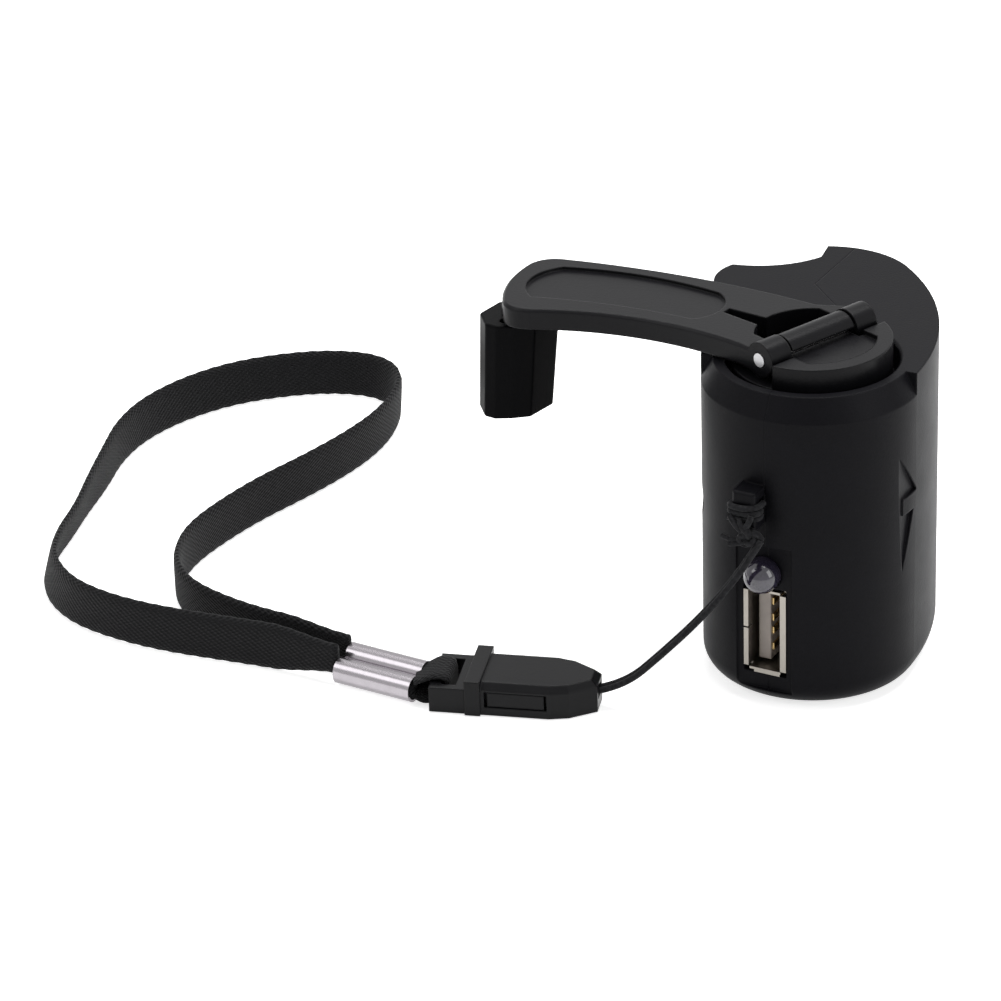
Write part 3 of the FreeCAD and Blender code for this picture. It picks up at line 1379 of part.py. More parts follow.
frame_end = size("buckle_length")
prong_gap = 0.12
frame_plate = box("frame_plate", joint_x, frame_end, -half_width, half_width, 0,
                  size("buckle_height"))
frame_slot = box("frame_slot", frame_end - 3.6, frame_end - 1.5, -half_width + 1.2,
                 half_width - 1.2, -1.0, size("buckle_height") + 1.0)
frame_step = box("frame_step", frame_end - 5.4, frame_end + 1.0, -half_width - 1.0,
                 half_width + 1.0, size("buckle_height") - 1.0, size("buckle_height") + 1.0)
frame_under = box("frame_under", frame_end - 2.0, frame_end + 1.0, -half_width + 1.2,
                  half_width - 1.2, -1.0, 1.1)
frame_body = cut("frame_body", frame_plate,
                 fuse("frame_cuts", [frame_slot, frame_step, frame_under]))
prong_low = size("buckle_wall") + prong_gap
prong_high = size("buckle_height") - size("buckle_wall") - prong_gap
prong_side = half_width - size("buckle_wall") - prong_gap
prongs = []
for name, low, high in (("left_prong", prong_side - 1.5, prong_side),
                        ("right_prong", -prong_side, -prong_side + 1.5),
                        ("middle_prong", as_size(-0.9), as_size(0.9))):
    prongs.append(box(name, 5.4, joint_x + 0.5, low, high, prong_low, prong_high))
catches = []
for name, low, high in (("left_catch", prong_side - 0.5, half_width - 0.1),
                        ("right_catch", -half_width + 0.1, -prong_side + 0.5)):
    catches.append(box(name, 7.0, 15.0, low, high, prong_low + 0.2, prong_high - 0.2))
buckle_frame = fuse("buckle_frame_solid", [frame_body] + prongs + catches)
buckle_frame = place(buckle_frame, BUCKLE_TIP[0], BUCKLE_TIP[1], 0, turn=BUCKLE_HEADING)
finish("buckle_frame", buckle_frame)

# Metal sleeve: two lobes side by side, each round one end of the strap
SLEEVE_LEFT = (-56.65, -33.3)
SLEEVE_HEADING = -1.9
lobe_spacing = size("sleeve_lobe") - size("sleeve_metal")


def lobe(name, side, inset, start, end):
    """An upright rounded bar along the sleeve; the inset makes it thinner."""
    radius = size("sleeve_lobe") / 2 - inset
    middle = lobe_spacing / 2 * side
    low = size("sleeve_lobe") / 2
    high = size("sleeve_height") - size("sleeve_lobe") / 2
    if side < 0:
        high = high - 0.8
    ends = [cylinder(f"{name}_{tag}", radius, as_size(end) - start, start, middle, height, ALONG_X)
            for tag, height in (("low", low), ("high", high))]
    web = box(name + "_web", start, end, middle - radius, middle + radius, low, high)
    return fuse(name, ends + [web])


sleeve_outer = fuse("sleeve_outer", [
    lobe("outer_lobe_front", -1, 0, 0, size("sleeve_length")),
    lobe("outer_lobe_back", 1, 0, 0, size("sleeve_length"))])
sleeve_inner = fuse("sleeve_inner", [
    lobe("inner_lobe_front", -1, size("sleeve_metal"), -1, size("sleeve_length") + 1.0),
    lobe("inner_lobe_back", 1, size("sleeve_metal"), -1, size("sleeve_length") + 1.0)])
sleeve = place(cut("crimp_sleeve_solid", sleeve_outer, sleeve_inner),
               SLEEVE_LEFT[0], SLEEVE_LEFT[1], 0, turn=SLEEVE_HEADING)
finish("crimp_sleeve", sleeve)

# The strap ends inside the sleeve carry on to the buckle as one short tab
tab_inset = size("sleeve_metal") + size("fixed_gap")
tab_lobes = place(fuse("tab_lobes", [
    lobe("tab_front", -1, tab_inset, 0, size("sleeve_length")),
    lobe("tab_back", 1, tab_inset, 0, size("sleeve_length"))]),
    SLEEVE_LEFT[0], SLEEVE_LEFT[1], 0, turn=SLEEVE_HEADING)
bar_low = as_size(1.1)
bar_high = size("buckle_height") - 1.0
tab_side = half_width - 1.7
tab_loop = place(fuse("tab_loop", [
    box("tab_over", frame_end - 2.6, frame_end + 3.0, -tab_side, tab_side,
        bar_high + 0.1, bar_high + 0.9),
    box("tab_inside", frame_end - 2.6, frame_end - 1.7, -tab_side, tab_side, 0.1,
        bar_high + 0.9),
    box("tab_under", frame_end - 2.6, frame_end + 3.0, -tab_side, tab_side, 0.1,
        bar_low - 0.1),
    box("tab_stitching", frame_end + 0.3, frame_end + 2.6, -tab_side, tab_side, 0.1,
        bar_high + 0.9)]),
    BUCKLE_TIP[0], BUCKLE_TIP[1], 0, turn=BUCKLE_HEADING)
sleeve_room = place(fuse("sleeve_room", [
    lobe("room_front", -1, 0, -1.0, size("sleeve_length") + 0.1),
    lobe("room_back", 1, 0, -1.0, size("sleeve_length") + 0.1)]),
    SLEEVE_LEFT[0], SLEEVE_LEFT[1], 0, turn=SLEEVE_HEADING)
tab_trimmed = cut("tab_trimmed", tab_loop, sleeve_room)
tab_neck = place(fuse("tab_neck", [
    lobe("neck_front", -1, tab_inset, size("sleeve_length") - 0.5,
         size("sleeve_length") + 1.2),
    lobe("neck_back", 1, tab_inset, size("sleeve_length") - 0.5,
         size("sleeve_length") + 1.2)]),
    SLEEVE_LEFT[0], SLEEVE_LEFT[1], 0, turn=SLEEVE_HEADING)
frame_room = place(group("frame_room", [
    box("frame_room_box", frame_end - 4.0, frame_end + 0.1, -half_width - 1.0,
        half_width + 1.0, -1.0, 9.0)]),
                   BUCKLE_TIP[0], BUCKLE_TIP[1], 0, turn=BUCKLE_HEADING)
neck_trimmed = cut("neck_trimmed", tab_neck, frame_room)
strap_tab = fuse("strap_tab_solid", [tab_lobes, tab_trimmed, neck_trimmed])
finish("strap_tab", strap_tab)

# Wrist strap, standing on edge in one loop
STRAP_ROUTE = (
    (-56.85, -34.95),
    (-65.4, -35.2),
    (-75.0, -36.6),
    (-84.8, -37.9),
    (-93.8, -37.6),
    (-101.5, -35.5),
    (-108.2, -30.2),
    (-111.9, -22.6),
    (-113.9, -14.4),
    (-116.9, -5.6),
    (-119.4, 3.0),
    (-122.2, 11.5),
    (-122.9, 20.0),
    (-121.0, 28.8),
    (-117.1, 36.6),
    (-111.0, 43.0),
    (-104.3, 47.3),
    (-97.5, 48.6),
    (-92.0, 45.5),
    (-89.0, 38.7),
    (-87.9, 30.5),
    (-88.5, 22.0),
    (-90.2, 13.0),
    (-92.5, 4.0),
    (-93.7, -4.5),
    (-94.1, -12.5),
    (-92.7, -19.2),
    (-89.3, -25.0),
    (-84.2, -29.1),
    (-76.8, -31.3),
    (-69.6, -32.2),
    (-62.8, -32.0),
    (-56.75, -31.65),
)


def flat_band(name, points, thickness, width):
    """A band on edge: its plan is the route with a side line at each hand."""
    path = route_path([point + (0.0,) for point in points], name)
    near = []
    far = []
    for edge in path:
        sides = []
        for side in (-1, 1):
            ends = []
            for place_along in (edge.FirstParameter,
                                (edge.FirstParameter + edge.LastParameter) / 2,
                                edge.LastParameter):
                spot = edge.valueAt(place_along)
                forward = edge.tangentAt(place_along)
                left = Vector(-forward.y, forward.x, 0)
                ends.append(spot.add(left * (side * thickness / 2)))
            if edge.Curve.TypeId == "Part::GeomLine":
                sides.append(Part.LineSegment(ends[0], ends[2]).toShape())
            else:
                sides.append(Part.Arc(*ends).toShape())
        near.append(sides[0])
        far.append(sides[1])
    start_cap = Part.LineSegment(far[0].valueAt(far[0].FirstParameter),
                                 near[0].valueAt(near[0].FirstParameter)).toShape()
    end_cap = Part.LineSegment(near[-1].valueAt(near[-1].LastParameter),
                               far[-1].valueAt(far[-1].LastParameter)).toShape()
    border = Part.Wire(Part.__sortEdges__(near + far + [start_cap, end_cap]))
    solid = Part.Face(border).extrude(Vector(0, 0, width))
    total = sum(edge.Length for edge in path)
    share = solid.Volume / (total * thickness * width)
    print(name, f"length {total:.1f} volume share {share:.4f}")
    return shaped(name, solid)


finish("wrist_strap", flat_band("wrist_strap", STRAP_ROUTE, length("strap_thickness"),
                                length("strap_width")))

# Check every object, then write each sub-part
doc.recompute()
for thing in doc.Objects:
    if "Invalid" in thing.State or "Error" in thing.State:
        raise RuntimeError(f"{thing.Name} did not compute: {thing.State}")
os.makedirs("parts", exist_ok=True)
for thing in subparts:
    shape = thing.Shape
    if shape.isNull() or not shape.isValid() or not shape.Solids:
        raise RuntimeError(f"{thing.Label} has no valid solid")
for thing in subparts:
    thing.Shape.exportStep(f"parts/{thing.Label}.step")
print(len(subparts), "sub-parts written")
print("gear axes", first_axis, second_axis, generator_axis)
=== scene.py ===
# %% [markdown]
# A pocket generator that charges a phone: a comma-shaped black body, a folding
# crank on its top, an outlet and a lamp on its front, and a wrist strap that
# lies beside it on a thin cord, a release buckle and a bright metal sleeve.
#
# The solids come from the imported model. This script gives them their finish,
# and replaces the strap, its tab, the hitch and the strings by finer meshes.

import math

import bmesh
import bpy
from mathutils import Matrix, Vector


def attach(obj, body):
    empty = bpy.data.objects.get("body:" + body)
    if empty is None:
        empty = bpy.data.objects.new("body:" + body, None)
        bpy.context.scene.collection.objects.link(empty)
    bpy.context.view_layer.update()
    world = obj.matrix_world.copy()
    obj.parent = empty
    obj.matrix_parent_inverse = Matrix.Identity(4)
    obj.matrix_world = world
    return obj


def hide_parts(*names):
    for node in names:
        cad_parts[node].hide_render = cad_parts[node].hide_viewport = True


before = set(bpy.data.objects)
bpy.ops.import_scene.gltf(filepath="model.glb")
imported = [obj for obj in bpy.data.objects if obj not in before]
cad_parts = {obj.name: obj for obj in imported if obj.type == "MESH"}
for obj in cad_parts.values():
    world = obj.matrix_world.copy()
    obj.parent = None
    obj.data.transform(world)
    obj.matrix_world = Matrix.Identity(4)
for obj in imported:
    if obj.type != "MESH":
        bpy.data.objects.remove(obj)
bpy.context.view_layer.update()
MM = 0.001
print("nodes in the frame:", len(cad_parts))


# %% [markdown]
# The camera stands to the right of the outlet and above it. The crank's axis
# crosses the top of the body right of the middle of the picture. The camera rolls
# by a degree and a half, so that the body there still stands upright.

# %% Camera
CAMERA_SPOT = Vector((0.25892, -0.55526, 0.33259))
CAMERA_TURN = (63.3577, 1.5756, 28.2555)
CAMERA_SENSOR = 36.0
CAMERA_LENS = 177.5


def add_object(name, data):
    made = bpy.data.objects.new(name, data)
    bpy.context.scene.collection.objects.link(made)
    return made


camera_data = bpy.data.cameras.new("camera")
camera_data.sensor_width = CAMERA_SENSOR
camera_data.lens = CAMERA_LENS
camera_data.clip_start = 0.01
camera_data.clip_end = 20.0
camera = add_object("camera", camera_data)
camera.location = CAMERA_SPOT
camera.rotation_euler = [math.radians(angle) for angle in CAMERA_TURN]
bpy.context.scene.camera = camera
print("lens", camera_data.lens)


# %% [markdown]
# Shader maths is easier to read when a socket can be added and multiplied like
# a number. `Socket` wraps one output, and `Shader` builds a material round it.

# %% Shader helpers
EDGE_RADIUS = 0.35 * MM
EDGE_SAMPLES = 6


class Socket:
    """One value in a material, with arithmetic."""

    def __init__(self, shader, output):
        self.shader = shader
        self.output = output

    def maths(self, operation, other=None):
        node = self.shader.node("ShaderNodeMath", operation=operation)
        self.shader.feed(node.inputs[0], self)
        if other is not None:
            self.shader.feed(node.inputs[1], other)
        return Socket(self.shader, node.outputs[0])

    def __add__(self, other):
        return self.maths("ADD", other)

    def __mul__(self, other):
        return self.maths("MULTIPLY", other)

    __radd__ = __add__
    __rmul__ = __mul__

    def ramp(self, low, high, start=0.0, stop=1.0):
        node = self.shader.node("ShaderNodeMapRange", clamp=True)
        self.shader.feed(node.inputs[0], self)
        for place, value in enumerate((low, high, start, stop), start=1):
            node.inputs[place].default_value = value
        return Socket(self.shader, node.outputs[0])


class Shader:
    """A material with one Principled surface."""

    def __init__(self, name, colour, roughness, metallic=0.0, **extras):
        self.material = bpy.data.materials.new(name)
        self.material.use_nodes = True
        self.tree = self.material.node_tree
        self.surface = self.tree.nodes["Principled BSDF"]
        self.set("Base Color", tuple(colour) + (1.0,))
        self.set("Roughness", roughness)
        self.set("Metallic", metallic)
        for words, value in extras.items():
            self.set(words.replace("_", " ").title().replace("Ior", "IOR"), value)

    def set(self, name, value):
        self.surface.inputs[name].default_value = value

    def node(self, kind, **settings):
        made = self.tree.nodes.new(kind)
        for name, value in settings.items():
            setattr(made, name, value)
        return made

    def feed(self, socket, value):
        if isinstance(value, Socket):
            self.tree.links.new(value.output, socket)
        else:
            socket.default_value = value

    def place(self, source="Object"):
        return Socket(self, self.node("ShaderNodeTexCoord").outputs[source])

    def noise(self, scale, detail, roughness, stretch=None):
        vector = self.place()
        if stretch:
            node = self.node("ShaderNodeVectorMath", operation="MULTIPLY")
            self.feed(node.inputs[0], vector)
            node.inputs[1].default_value = stretch
            vector = Socket(self, node.outputs[0])
        node = self.node("ShaderNodeTexNoise")
        self.feed(node.inputs["Vector"], vector)
        node.inputs["Scale"].default_value = scale
        node.inputs["Detail"].default_value = detail
        node.inputs["Roughness"].default_value = roughness
        return Socket(self, node.outputs["Fac"])

    def part(self, vector, letter):
        node = self.node("ShaderNodeSeparateXYZ")
        self.feed(node.inputs[0], vector)
        return Socket(self, node.outputs[letter])

    def wave(self, value, turns):
        return (value * (turns * 2 * math.pi)).maths("SINE")

    def mix(self, amount, first, second):
        node = self.node("ShaderNodeMix", data_type="RGBA")
        self.feed(node.inputs[0], amount)
        node.inputs[6].default_value = tuple(first) + (1.0,)
        node.inputs[7].default_value = tuple(second) + (1.0,)
        return Socket(self, node.outputs[2])

    def colour(self, amount, first, second):
        self.feed(self.surface.inputs["Base Color"], self.mix(amount, first, second))

    def rough(self, amount, low, high):
        self.feed(self.surface.inputs["Roughness"], amount.ramp(0.0, 1.0, low, high))

    def bump(self, height, depth, strength, edge=0.0):
        """Fine relief. An edge radius also rounds how the edges catch the light."""
        node = self.node("ShaderNodeBump")
        node.inputs["Strength"].default_value = strength
        node.inputs["Distance"].default_value = depth
        self.feed(node.inputs["Height"], height)
        if edge:
            worn = self.node("ShaderNodeBevel")
            worn.samples = EDGE_SAMPLES
            worn.inputs["Radius"].default_value = edge
            self.tree.links.new(worn.outputs["Normal"], node.inputs["Normal"])
        self.tree.links.new(node.outputs["Normal"], self.surface.inputs["Normal"])


# %% [markdown]
# The real body is moulded black plastic with a fine spark texture. The hinge and
# the arm are smoother, and the buckle is the glossiest. A grain could be carved in
# the mesh, but it is finer than a tenth of a millimetre, so it is a bump here. Broad
# cloudy noise makes the gloss vary, and rounded normals make the edges catch light.

# %% Plastics
CLOUD_SCALE = 180.0
CLOUD_PALER = 1.35
GRAIN_STRENGTH = 0.7


def plastic(name, colour, gloss, grain, depth, shine=0.5):
    """Gloss is the range of roughness, grain the texture's scale, shine its specular level."""
    shader = Shader(name, colour, sum(gloss) / 2)
    shader.set("Specular IOR Level", shine)
    cloud = shader.noise(CLOUD_SCALE, 4.0, 0.6)
    paler = [value * CLOUD_PALER for value in colour]
    shader.colour(cloud.ramp(0.3, 0.7), colour, paler)
    shader.rough(cloud, *gloss)
    shader.bump(shader.noise(grain, 2.0, 0.6), depth, GRAIN_STRENGTH, EDGE_RADIUS)
    return shader.material


FINE, MEDIUM, COARSE = 0.00001, 0.00002, 0.00003
shell_plastic = plastic("shell_plastic", (0.0040, 0.0039, 0.0050), (0.38, 0.50),
                        3200.0, COARSE, shine=0.06)
hinge_plastic = plastic("hinge_plastic", (0.0044, 0.0043, 0.0052), (0.26, 0.38),
                        2600.0, MEDIUM, shine=0.11)
knob_plastic = plastic("knob_plastic", (0.0022, 0.0022, 0.0026), (0.34, 0.46),
                       2800.0, MEDIUM, shine=0.03)
buckle_plastic = plastic("buckle_plastic", (0.0036, 0.0036, 0.0042), (0.24, 0.34),
                         2000.0, FINE, shine=0.13)
tongue_plastic = plastic("tongue_plastic", (0.32, 0.28, 0.25), (0.35, 0.50), 2500.0, MEDIUM)
print("plastics:", len(bpy.data.materials))


# %% [markdown]
# The metal pieces are turned, drawn or stamped, which leaves fine lines along one
# way. Noise stretched along that way stands for the lines, with one strength for all.

# %% Metals
BRUSH_SCALE = 900.0
BRUSH_DEPTH = 0.000004
BRUSH_DARKER = 0.9


def metal(name, colour, gloss, stretch=(1.0, 1.0, 1.0)):
    shader = Shader(name, colour, gloss[0], metallic=1.0)
    brushed = shader.noise(BRUSH_SCALE, 4.0, 0.6, stretch)
    shader.rough(brushed, *gloss)
    darker = [value * BRUSH_DARKER for value in colour]
    shader.colour(brushed.ramp(0.2, 0.8), colour, darker)
    shader.bump(brushed, BRUSH_DEPTH, 0.5)
    return shader.material


nickel = metal("bright_nickel", (0.34, 0.32, 0.34), (0.16, 0.26))
outlet_metal = metal("outlet_metal", (0.30, 0.28, 0.25), (0.28, 0.40))
steel = metal("screw_steel", (0.56, 0.56, 0.57), (0.24, 0.40))
plate_steel = metal("plate_steel", (0.60, 0.60, 0.61), (0.30, 0.45), (0.2, 3.0, 1.0))
gold = metal("contact_gold", (0.83, 0.60, 0.27), (0.15, 0.28))
brass = metal("brass", (0.75, 0.56, 0.26), (0.22, 0.38), (1.0, 1.0, 6.0))
copper = metal("copper", (0.80, 0.42, 0.24), (0.25, 0.40), (1.0, 1.0, 8.0))
core_steel = metal("core_steel", (0.33, 0.33, 0.34), (0.35, 0.5), (0.5, 0.5, 12.0))
print("plastics and metals:", len(bpy.data.materials))


# %% [markdown]
# Inside the body are gears, magnets and a small board, which show when the object
# is taken apart. The lamp is smoked resin: a smooth dark dome with a clear coat.

# %% Inner pieces and lamp
ferrite = plastic("ferrite", (0.035, 0.034, 0.035), (0.50, 0.70), 2500.0, COARSE)
gear_resin = plastic("gear_resin", (0.70, 0.68, 0.62), (0.35, 0.50), 900.0, FINE)
cap_resin = plastic("cap_plastic", (0.60, 0.58, 0.52), (0.40, 0.55), 900.0, FINE)
board_resin = plastic("board_resin", (0.012, 0.11, 0.045), (0.28, 0.40), 1400.0, FINE)
sleeve_blue = plastic("capacitor_sleeve", (0.012, 0.016, 0.09), (0.25, 0.35), 800.0, FINE)
component_black = plastic("component_black", (0.02, 0.02, 0.02), (0.40, 0.60), 2200.0, MEDIUM)
wire_red = plastic("wire_cover", (0.35, 0.02, 0.015), (0.35, 0.50), 1200.0, FINE)

lens = Shader("lens_plastic", (0.028, 0.024, 0.040), 0.08, coat_weight=0.6,
              coat_roughness=0.05)
lens.colour(lens.noise(400.0, 3.0, 0.5).ramp(0.35, 0.65), (0.022, 0.019, 0.034),
            (0.040, 0.034, 0.055))

FINISHES = (
    (shell_plastic, ("left_shell", "right_shell")),
    (hinge_plastic, ("crank_disc", "crank_arm")),
    (knob_plastic, ("knob",)),
    (buckle_plastic, ("buckle_socket", "buckle_frame")),
    (tongue_plastic, ("outlet_tongue",)),
    (nickel, ("crimp_sleeve",)),
    (outlet_metal, ("outlet_shell",)),
    (steel, ("case_screws", "crank_screw", "hinge_pin", "knob_screw", "first_axle",
             "second_axle", "gearbox_screws", "rotor_shaft", "generator_screws")),
    (plate_steel, ("gearbox_top_plate", "gearbox_base_plate", "generator_can")),
    (gold, ("outlet_contacts",)),
    (brass, ("gearbox_spacers", "generator_bushing", "generator_pinion",
             "generator_terminals")),
    (copper, ("rotor_windings", "commutator", "generator_brushes", "lamp_leads")),
    (core_steel, ("rotor_core",)),
    (ferrite, ("generator_magnets",)),
    (gear_resin, ("drive_gear", "first_reduction_gear", "second_reduction_gear")),
    (cap_resin, ("generator_end_cap",)),
    (board_resin, ("circuit_board",)),
    (sleeve_blue, ("capacitor",)),
    (component_black, ("rectifier_diodes", "charge_controller", "lamp_resistor")),
    (wire_red, ("generator_leads",)),
    (lens.material, ("indicator_lamp",)),
)
for finish, node_names in FINISHES:
    for node_name in node_names:
        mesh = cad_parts[node_name].data
        mesh.materials.clear()
        mesh.materials.append(finish)
print("finished nodes:", sum(len(node_names) for finish, node_names in FINISHES))


# %% [markdown]
# A cord's line is one smooth NURBS spline whose control points are the corners
# of its route. Tubes and bands that follow a cord read the spline's own points.

# %% Cord helpers
CURVE_STEPS = 12
TUBE_STEPS = 4


def smooth_curve(name, route, radius=0.0):
    data = bpy.data.curves.new(name, "CURVE")
    data.dimensions = "3D"
    data.resolution_u = CURVE_STEPS
    spline = data.splines.new("NURBS")
    spline.points.add(len(route) - 1)
    for point, spot in zip(spline.points, route):
        point.co = (spot[0] * MM, spot[1] * MM, spot[2] * MM, 1.0)
    spline.order_u = 3
    spline.use_endpoint_u = True
    data.bevel_depth = radius
    data.bevel_resolution = TUBE_STEPS
    data.use_fill_caps = True
    return add_object(name, data)


def spline_points(route):
    """The points of a route's smooth line."""
    probe = smooth_curve("route_probe", route)
    bpy.context.view_layer.update()
    mesh = bpy.data.meshes.new_from_object(probe)
    points = [vertex.co.copy() for vertex in mesh.vertices]
    bpy.data.objects.remove(probe, do_unlink=True)
    bpy.data.meshes.remove(mesh)
    return points


def line_length(points):
    return sum((b - a).length for a, b in zip(points, points[1:]))


def evenly(points, step):
    """The same line, with points an even step apart."""
    total = line_length(points)
    count = max(2, int(round(total / step)))
    targets = [total * number / count for number in range(count + 1)]
    result = []
    walked = 0.0
    index = 0
    for target in targets:
        span = (points[index + 1] - points[index]).length
        while index < len(points) - 2 and walked + span < target:
            walked += span
            index += 1
            span = (points[index + 1] - points[index]).length
        share = 0.0 if span == 0 else min(1.0, (target - walked) / span)
        result.append(points[index].lerp(points[index + 1], share))
    return result


def finished_mesh(mesh, material):
    """An object of a mesh, smooth, with its material, on the case."""
    made = add_object(mesh.name, mesh)
    mesh.materials.append(material)
    for face in mesh.polygons:
        face.use_smooth = True
    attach(made, "case")
    return made


def mesh_object(name, vertices, faces, material):
    mesh = bpy.data.meshes.new(name)
    mesh.from_pydata([tuple(vertex) for vertex in vertices], [], faces)
    mesh.update()
    return finished_mesh(mesh, material)


# %% [markdown]
# The webbing is woven from coarse threads, with a twill of rows that slant across
# it. Threads of their own would be thousands of tubes, so two waves that cross give
# the rows instead. They read the band's UVs, which are metres along and across.

# %% Webbing
THREAD_PITCH = 0.62 * MM
ROW_PITCH = 1.05 * MM
ROW_SLANT = 0.35
webbing = Shader("webbing", (0.012, 0.012, 0.013), 0.8, sheen_weight=0.06, sheen_roughness=0.5,
                 specular_ior_level=0.15)
webbing_uv = webbing.place("UV")
along = webbing.part(webbing_uv, "X")
across = webbing.part(webbing_uv, "Y")
warp = webbing.wave(across, 1 / THREAD_PITCH)
weft = webbing.wave(along + across * ROW_SLANT, 1 / ROW_PITCH)
weave = (warp * weft) * 0.5 + webbing.noise(1500.0, 3.0, 0.6) * 0.35
webbing.colour(weave.ramp(-0.4, 0.8), (0.0010, 0.0010, 0.0012), (0.0100, 0.0100, 0.0112))
webbing.bump(weave, 0.00018, 0.9)
print("weave rows per centimetre", round(10 * MM / ROW_PITCH, 1))


# %% [markdown]
# The wrist strap is a narrow band that stands on its edge in one loop. A real one
# is a flat length that finds its own curve. Here its route is drawn and the band
# swept along it, because a loop that stands on its edge would fall over in a
# simulation. It leans a little at two places, narrows into the sleeve, and its edges
# are scalloped by the weave.

# %% Wrist strap
STRAP_ROUTE = (
    (-56.85, -34.95), (-65.4, -35.2), (-75.0, -36.6), (-84.8, -37.9), (-93.8, -37.6),
    (-101.5, -35.5), (-108.2, -30.2), (-111.9, -22.6), (-113.9, -14.4), (-116.9, -5.6),
    (-119.4, 3.0), (-122.2, 11.5), (-122.9, 20.0), (-121.0, 28.8), (-117.1, 36.6), (-111.0, 43.0),
    (-104.3, 47.3), (-97.5, 48.6), (-92.0, 45.5), (-89.0, 38.7), (-87.9, 30.5), (-88.5, 22.0),
    (-90.2, 13.0), (-92.5, 4.0), (-93.7, -4.5), (-94.1, -12.5), (-92.7, -19.2), (-89.3, -25.0),
    (-84.2, -29.1), (-76.8, -31.3), (-69.6, -32.2), (-62.8, -32.0), (-56.75, -31.65),
)
STRAP_WIDTH = 7.2 * MM
STRAP_THICKNESS = 1.1 * MM
STRAP_STEP = 0.6 * MM
NEAR_LEAN = (-0.30, 64 * MM, 30 * MM)
FAR_LEAN = (0.10, 140 * MM, 40 * MM)
PINCH_SHARE = 0.36
PINCH_REACH = 11 * MM
RUFFLE_DEPTH = 0.10 * MM
RUFFLE_PITCH = 2.3 * MM
RING_STEPS = 9


def ribbon(name, points, crosses, widths, thickness, ruffle=0.0):
    """A woven band along a line. Each point has the direction and the width across it."""
    ring = []
    for number in range(RING_STEPS + 1):
        share = number / RING_STEPS
        bulge = math.sqrt(max(0.0, 1.0 - abs(2 * share - 1) ** 6))
        ring.append((thickness / 2 * (0.35 + 0.65 * bulge), share - 0.5))
    profile = ring + [(-offset, share) for offset, share in reversed(ring)]
    vertices = []
    distances = [0.0]
    for before, after in zip(points, points[1:]):
        distances.append(distances[-1] + (after - before).length)
    for index, point in enumerate(points):
        ahead = points[min(index + 1, len(points) - 1)]
        behind = points[max(index - 1, 0)]
        heading = (ahead - behind).normalized()
        cross = crosses[index].normalized()
        side = heading.cross(cross).normalized()
        edge = ruffle * (math.sin(distances[index] * 2 * math.pi / RUFFLE_PITCH) - 1.0)
        wide = widths[index] + edge
        for offset, share in profile:
            vertices.append(point + side * offset + cross * (share * wide))
    size = len(profile)
    faces = []
    for index in range(len(points) - 1):
        for corner in range(size):
            following = (corner + 1) % size
            faces.append((index * size + corner, index * size + following,
                          (index + 1) * size + following, (index + 1) * size + corner))
    faces.append(tuple(reversed(range(size))))
    faces.append(tuple(range((len(points) - 1) * size, len(points) * size)))
    made = mesh_object(name, vertices, faces, webbing.material)
    layer = made.data.uv_layers.new(name="UVMap")
    for face in made.data.polygons:
        for loop in face.loop_indices:
            index, corner = divmod(made.data.loops[loop].vertex_index, size)
            layer.data[loop].uv = (distances[index], profile[corner][1] * widths[index])
    return made


def hump(value, middle, reach):
    """One at the middle, and falling smoothly to nothing at the reach on either side."""
    share = min(1.0, abs(value - middle) / reach)
    return 0.5 + 0.5 * math.cos(math.pi * share)


strap_line = evenly(spline_points([spot + (STRAP_WIDTH / MM / 2,) for spot in STRAP_ROUTE]),
                    STRAP_STEP)
strap_length = line_length(strap_line)
strap_crosses = []
strap_widths = []
for number, point in enumerate(strap_line):
    walked = strap_length * number / (len(strap_line) - 1)
    heading = (strap_line[min(number + 1, len(strap_line) - 1)]
               - strap_line[max(number - 1, 0)]).normalized()
    outward = Vector((-heading.y, heading.x, 0.0))
    tilt = sum(lean * hump(walked, middle, reach)
               for lean, middle, reach in (NEAR_LEAN, FAR_LEAN))
    strap_crosses.append(Vector((0, 0, 1)) + outward * tilt)
    to_end = min(walked, strap_length - walked)
    strap_widths.append(STRAP_WIDTH * (1.0 - PINCH_SHARE * hump(to_end, 0.0, PINCH_REACH)))
strap = ribbon("strap_band", strap_line, strap_crosses, strap_widths, STRAP_THICKNESS,
               RUFFLE_DEPTH)
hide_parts("wrist_strap")
print("strap length", round(strap_length, 4))


# %% [markdown]
# Between the sleeve and the buckle a short band comes out of the sleeve, goes over
# the buckle's bar, down its slot and back under it. It is drawn in two frames: the
# sleeve's, with its origin at the left end, and the buckle's, with its origin at the
# end where the strings go in. Inside the sleeve a folded bundle fills each lobe.

# %% Strap tab
BUCKLE_TIP = Vector((-20.6, -25.3, 0.0)) * MM
BUCKLE_TURN = Matrix.Rotation(math.radians(197.5), 4, "Z")
SLEEVE_LEFT = Vector((-56.65, -33.3, 0.0)) * MM
SLEEVE_TURN = Matrix.Rotation(math.radians(-1.9), 4, "Z")


def in_buckle(x, y, z):
    return BUCKLE_TIP + BUCKLE_TURN @ (Vector((x, y, z)) * MM)


def in_sleeve(x, y, z):
    return SLEEVE_LEFT + SLEEVE_TURN @ (Vector((x, y, z)) * MM)


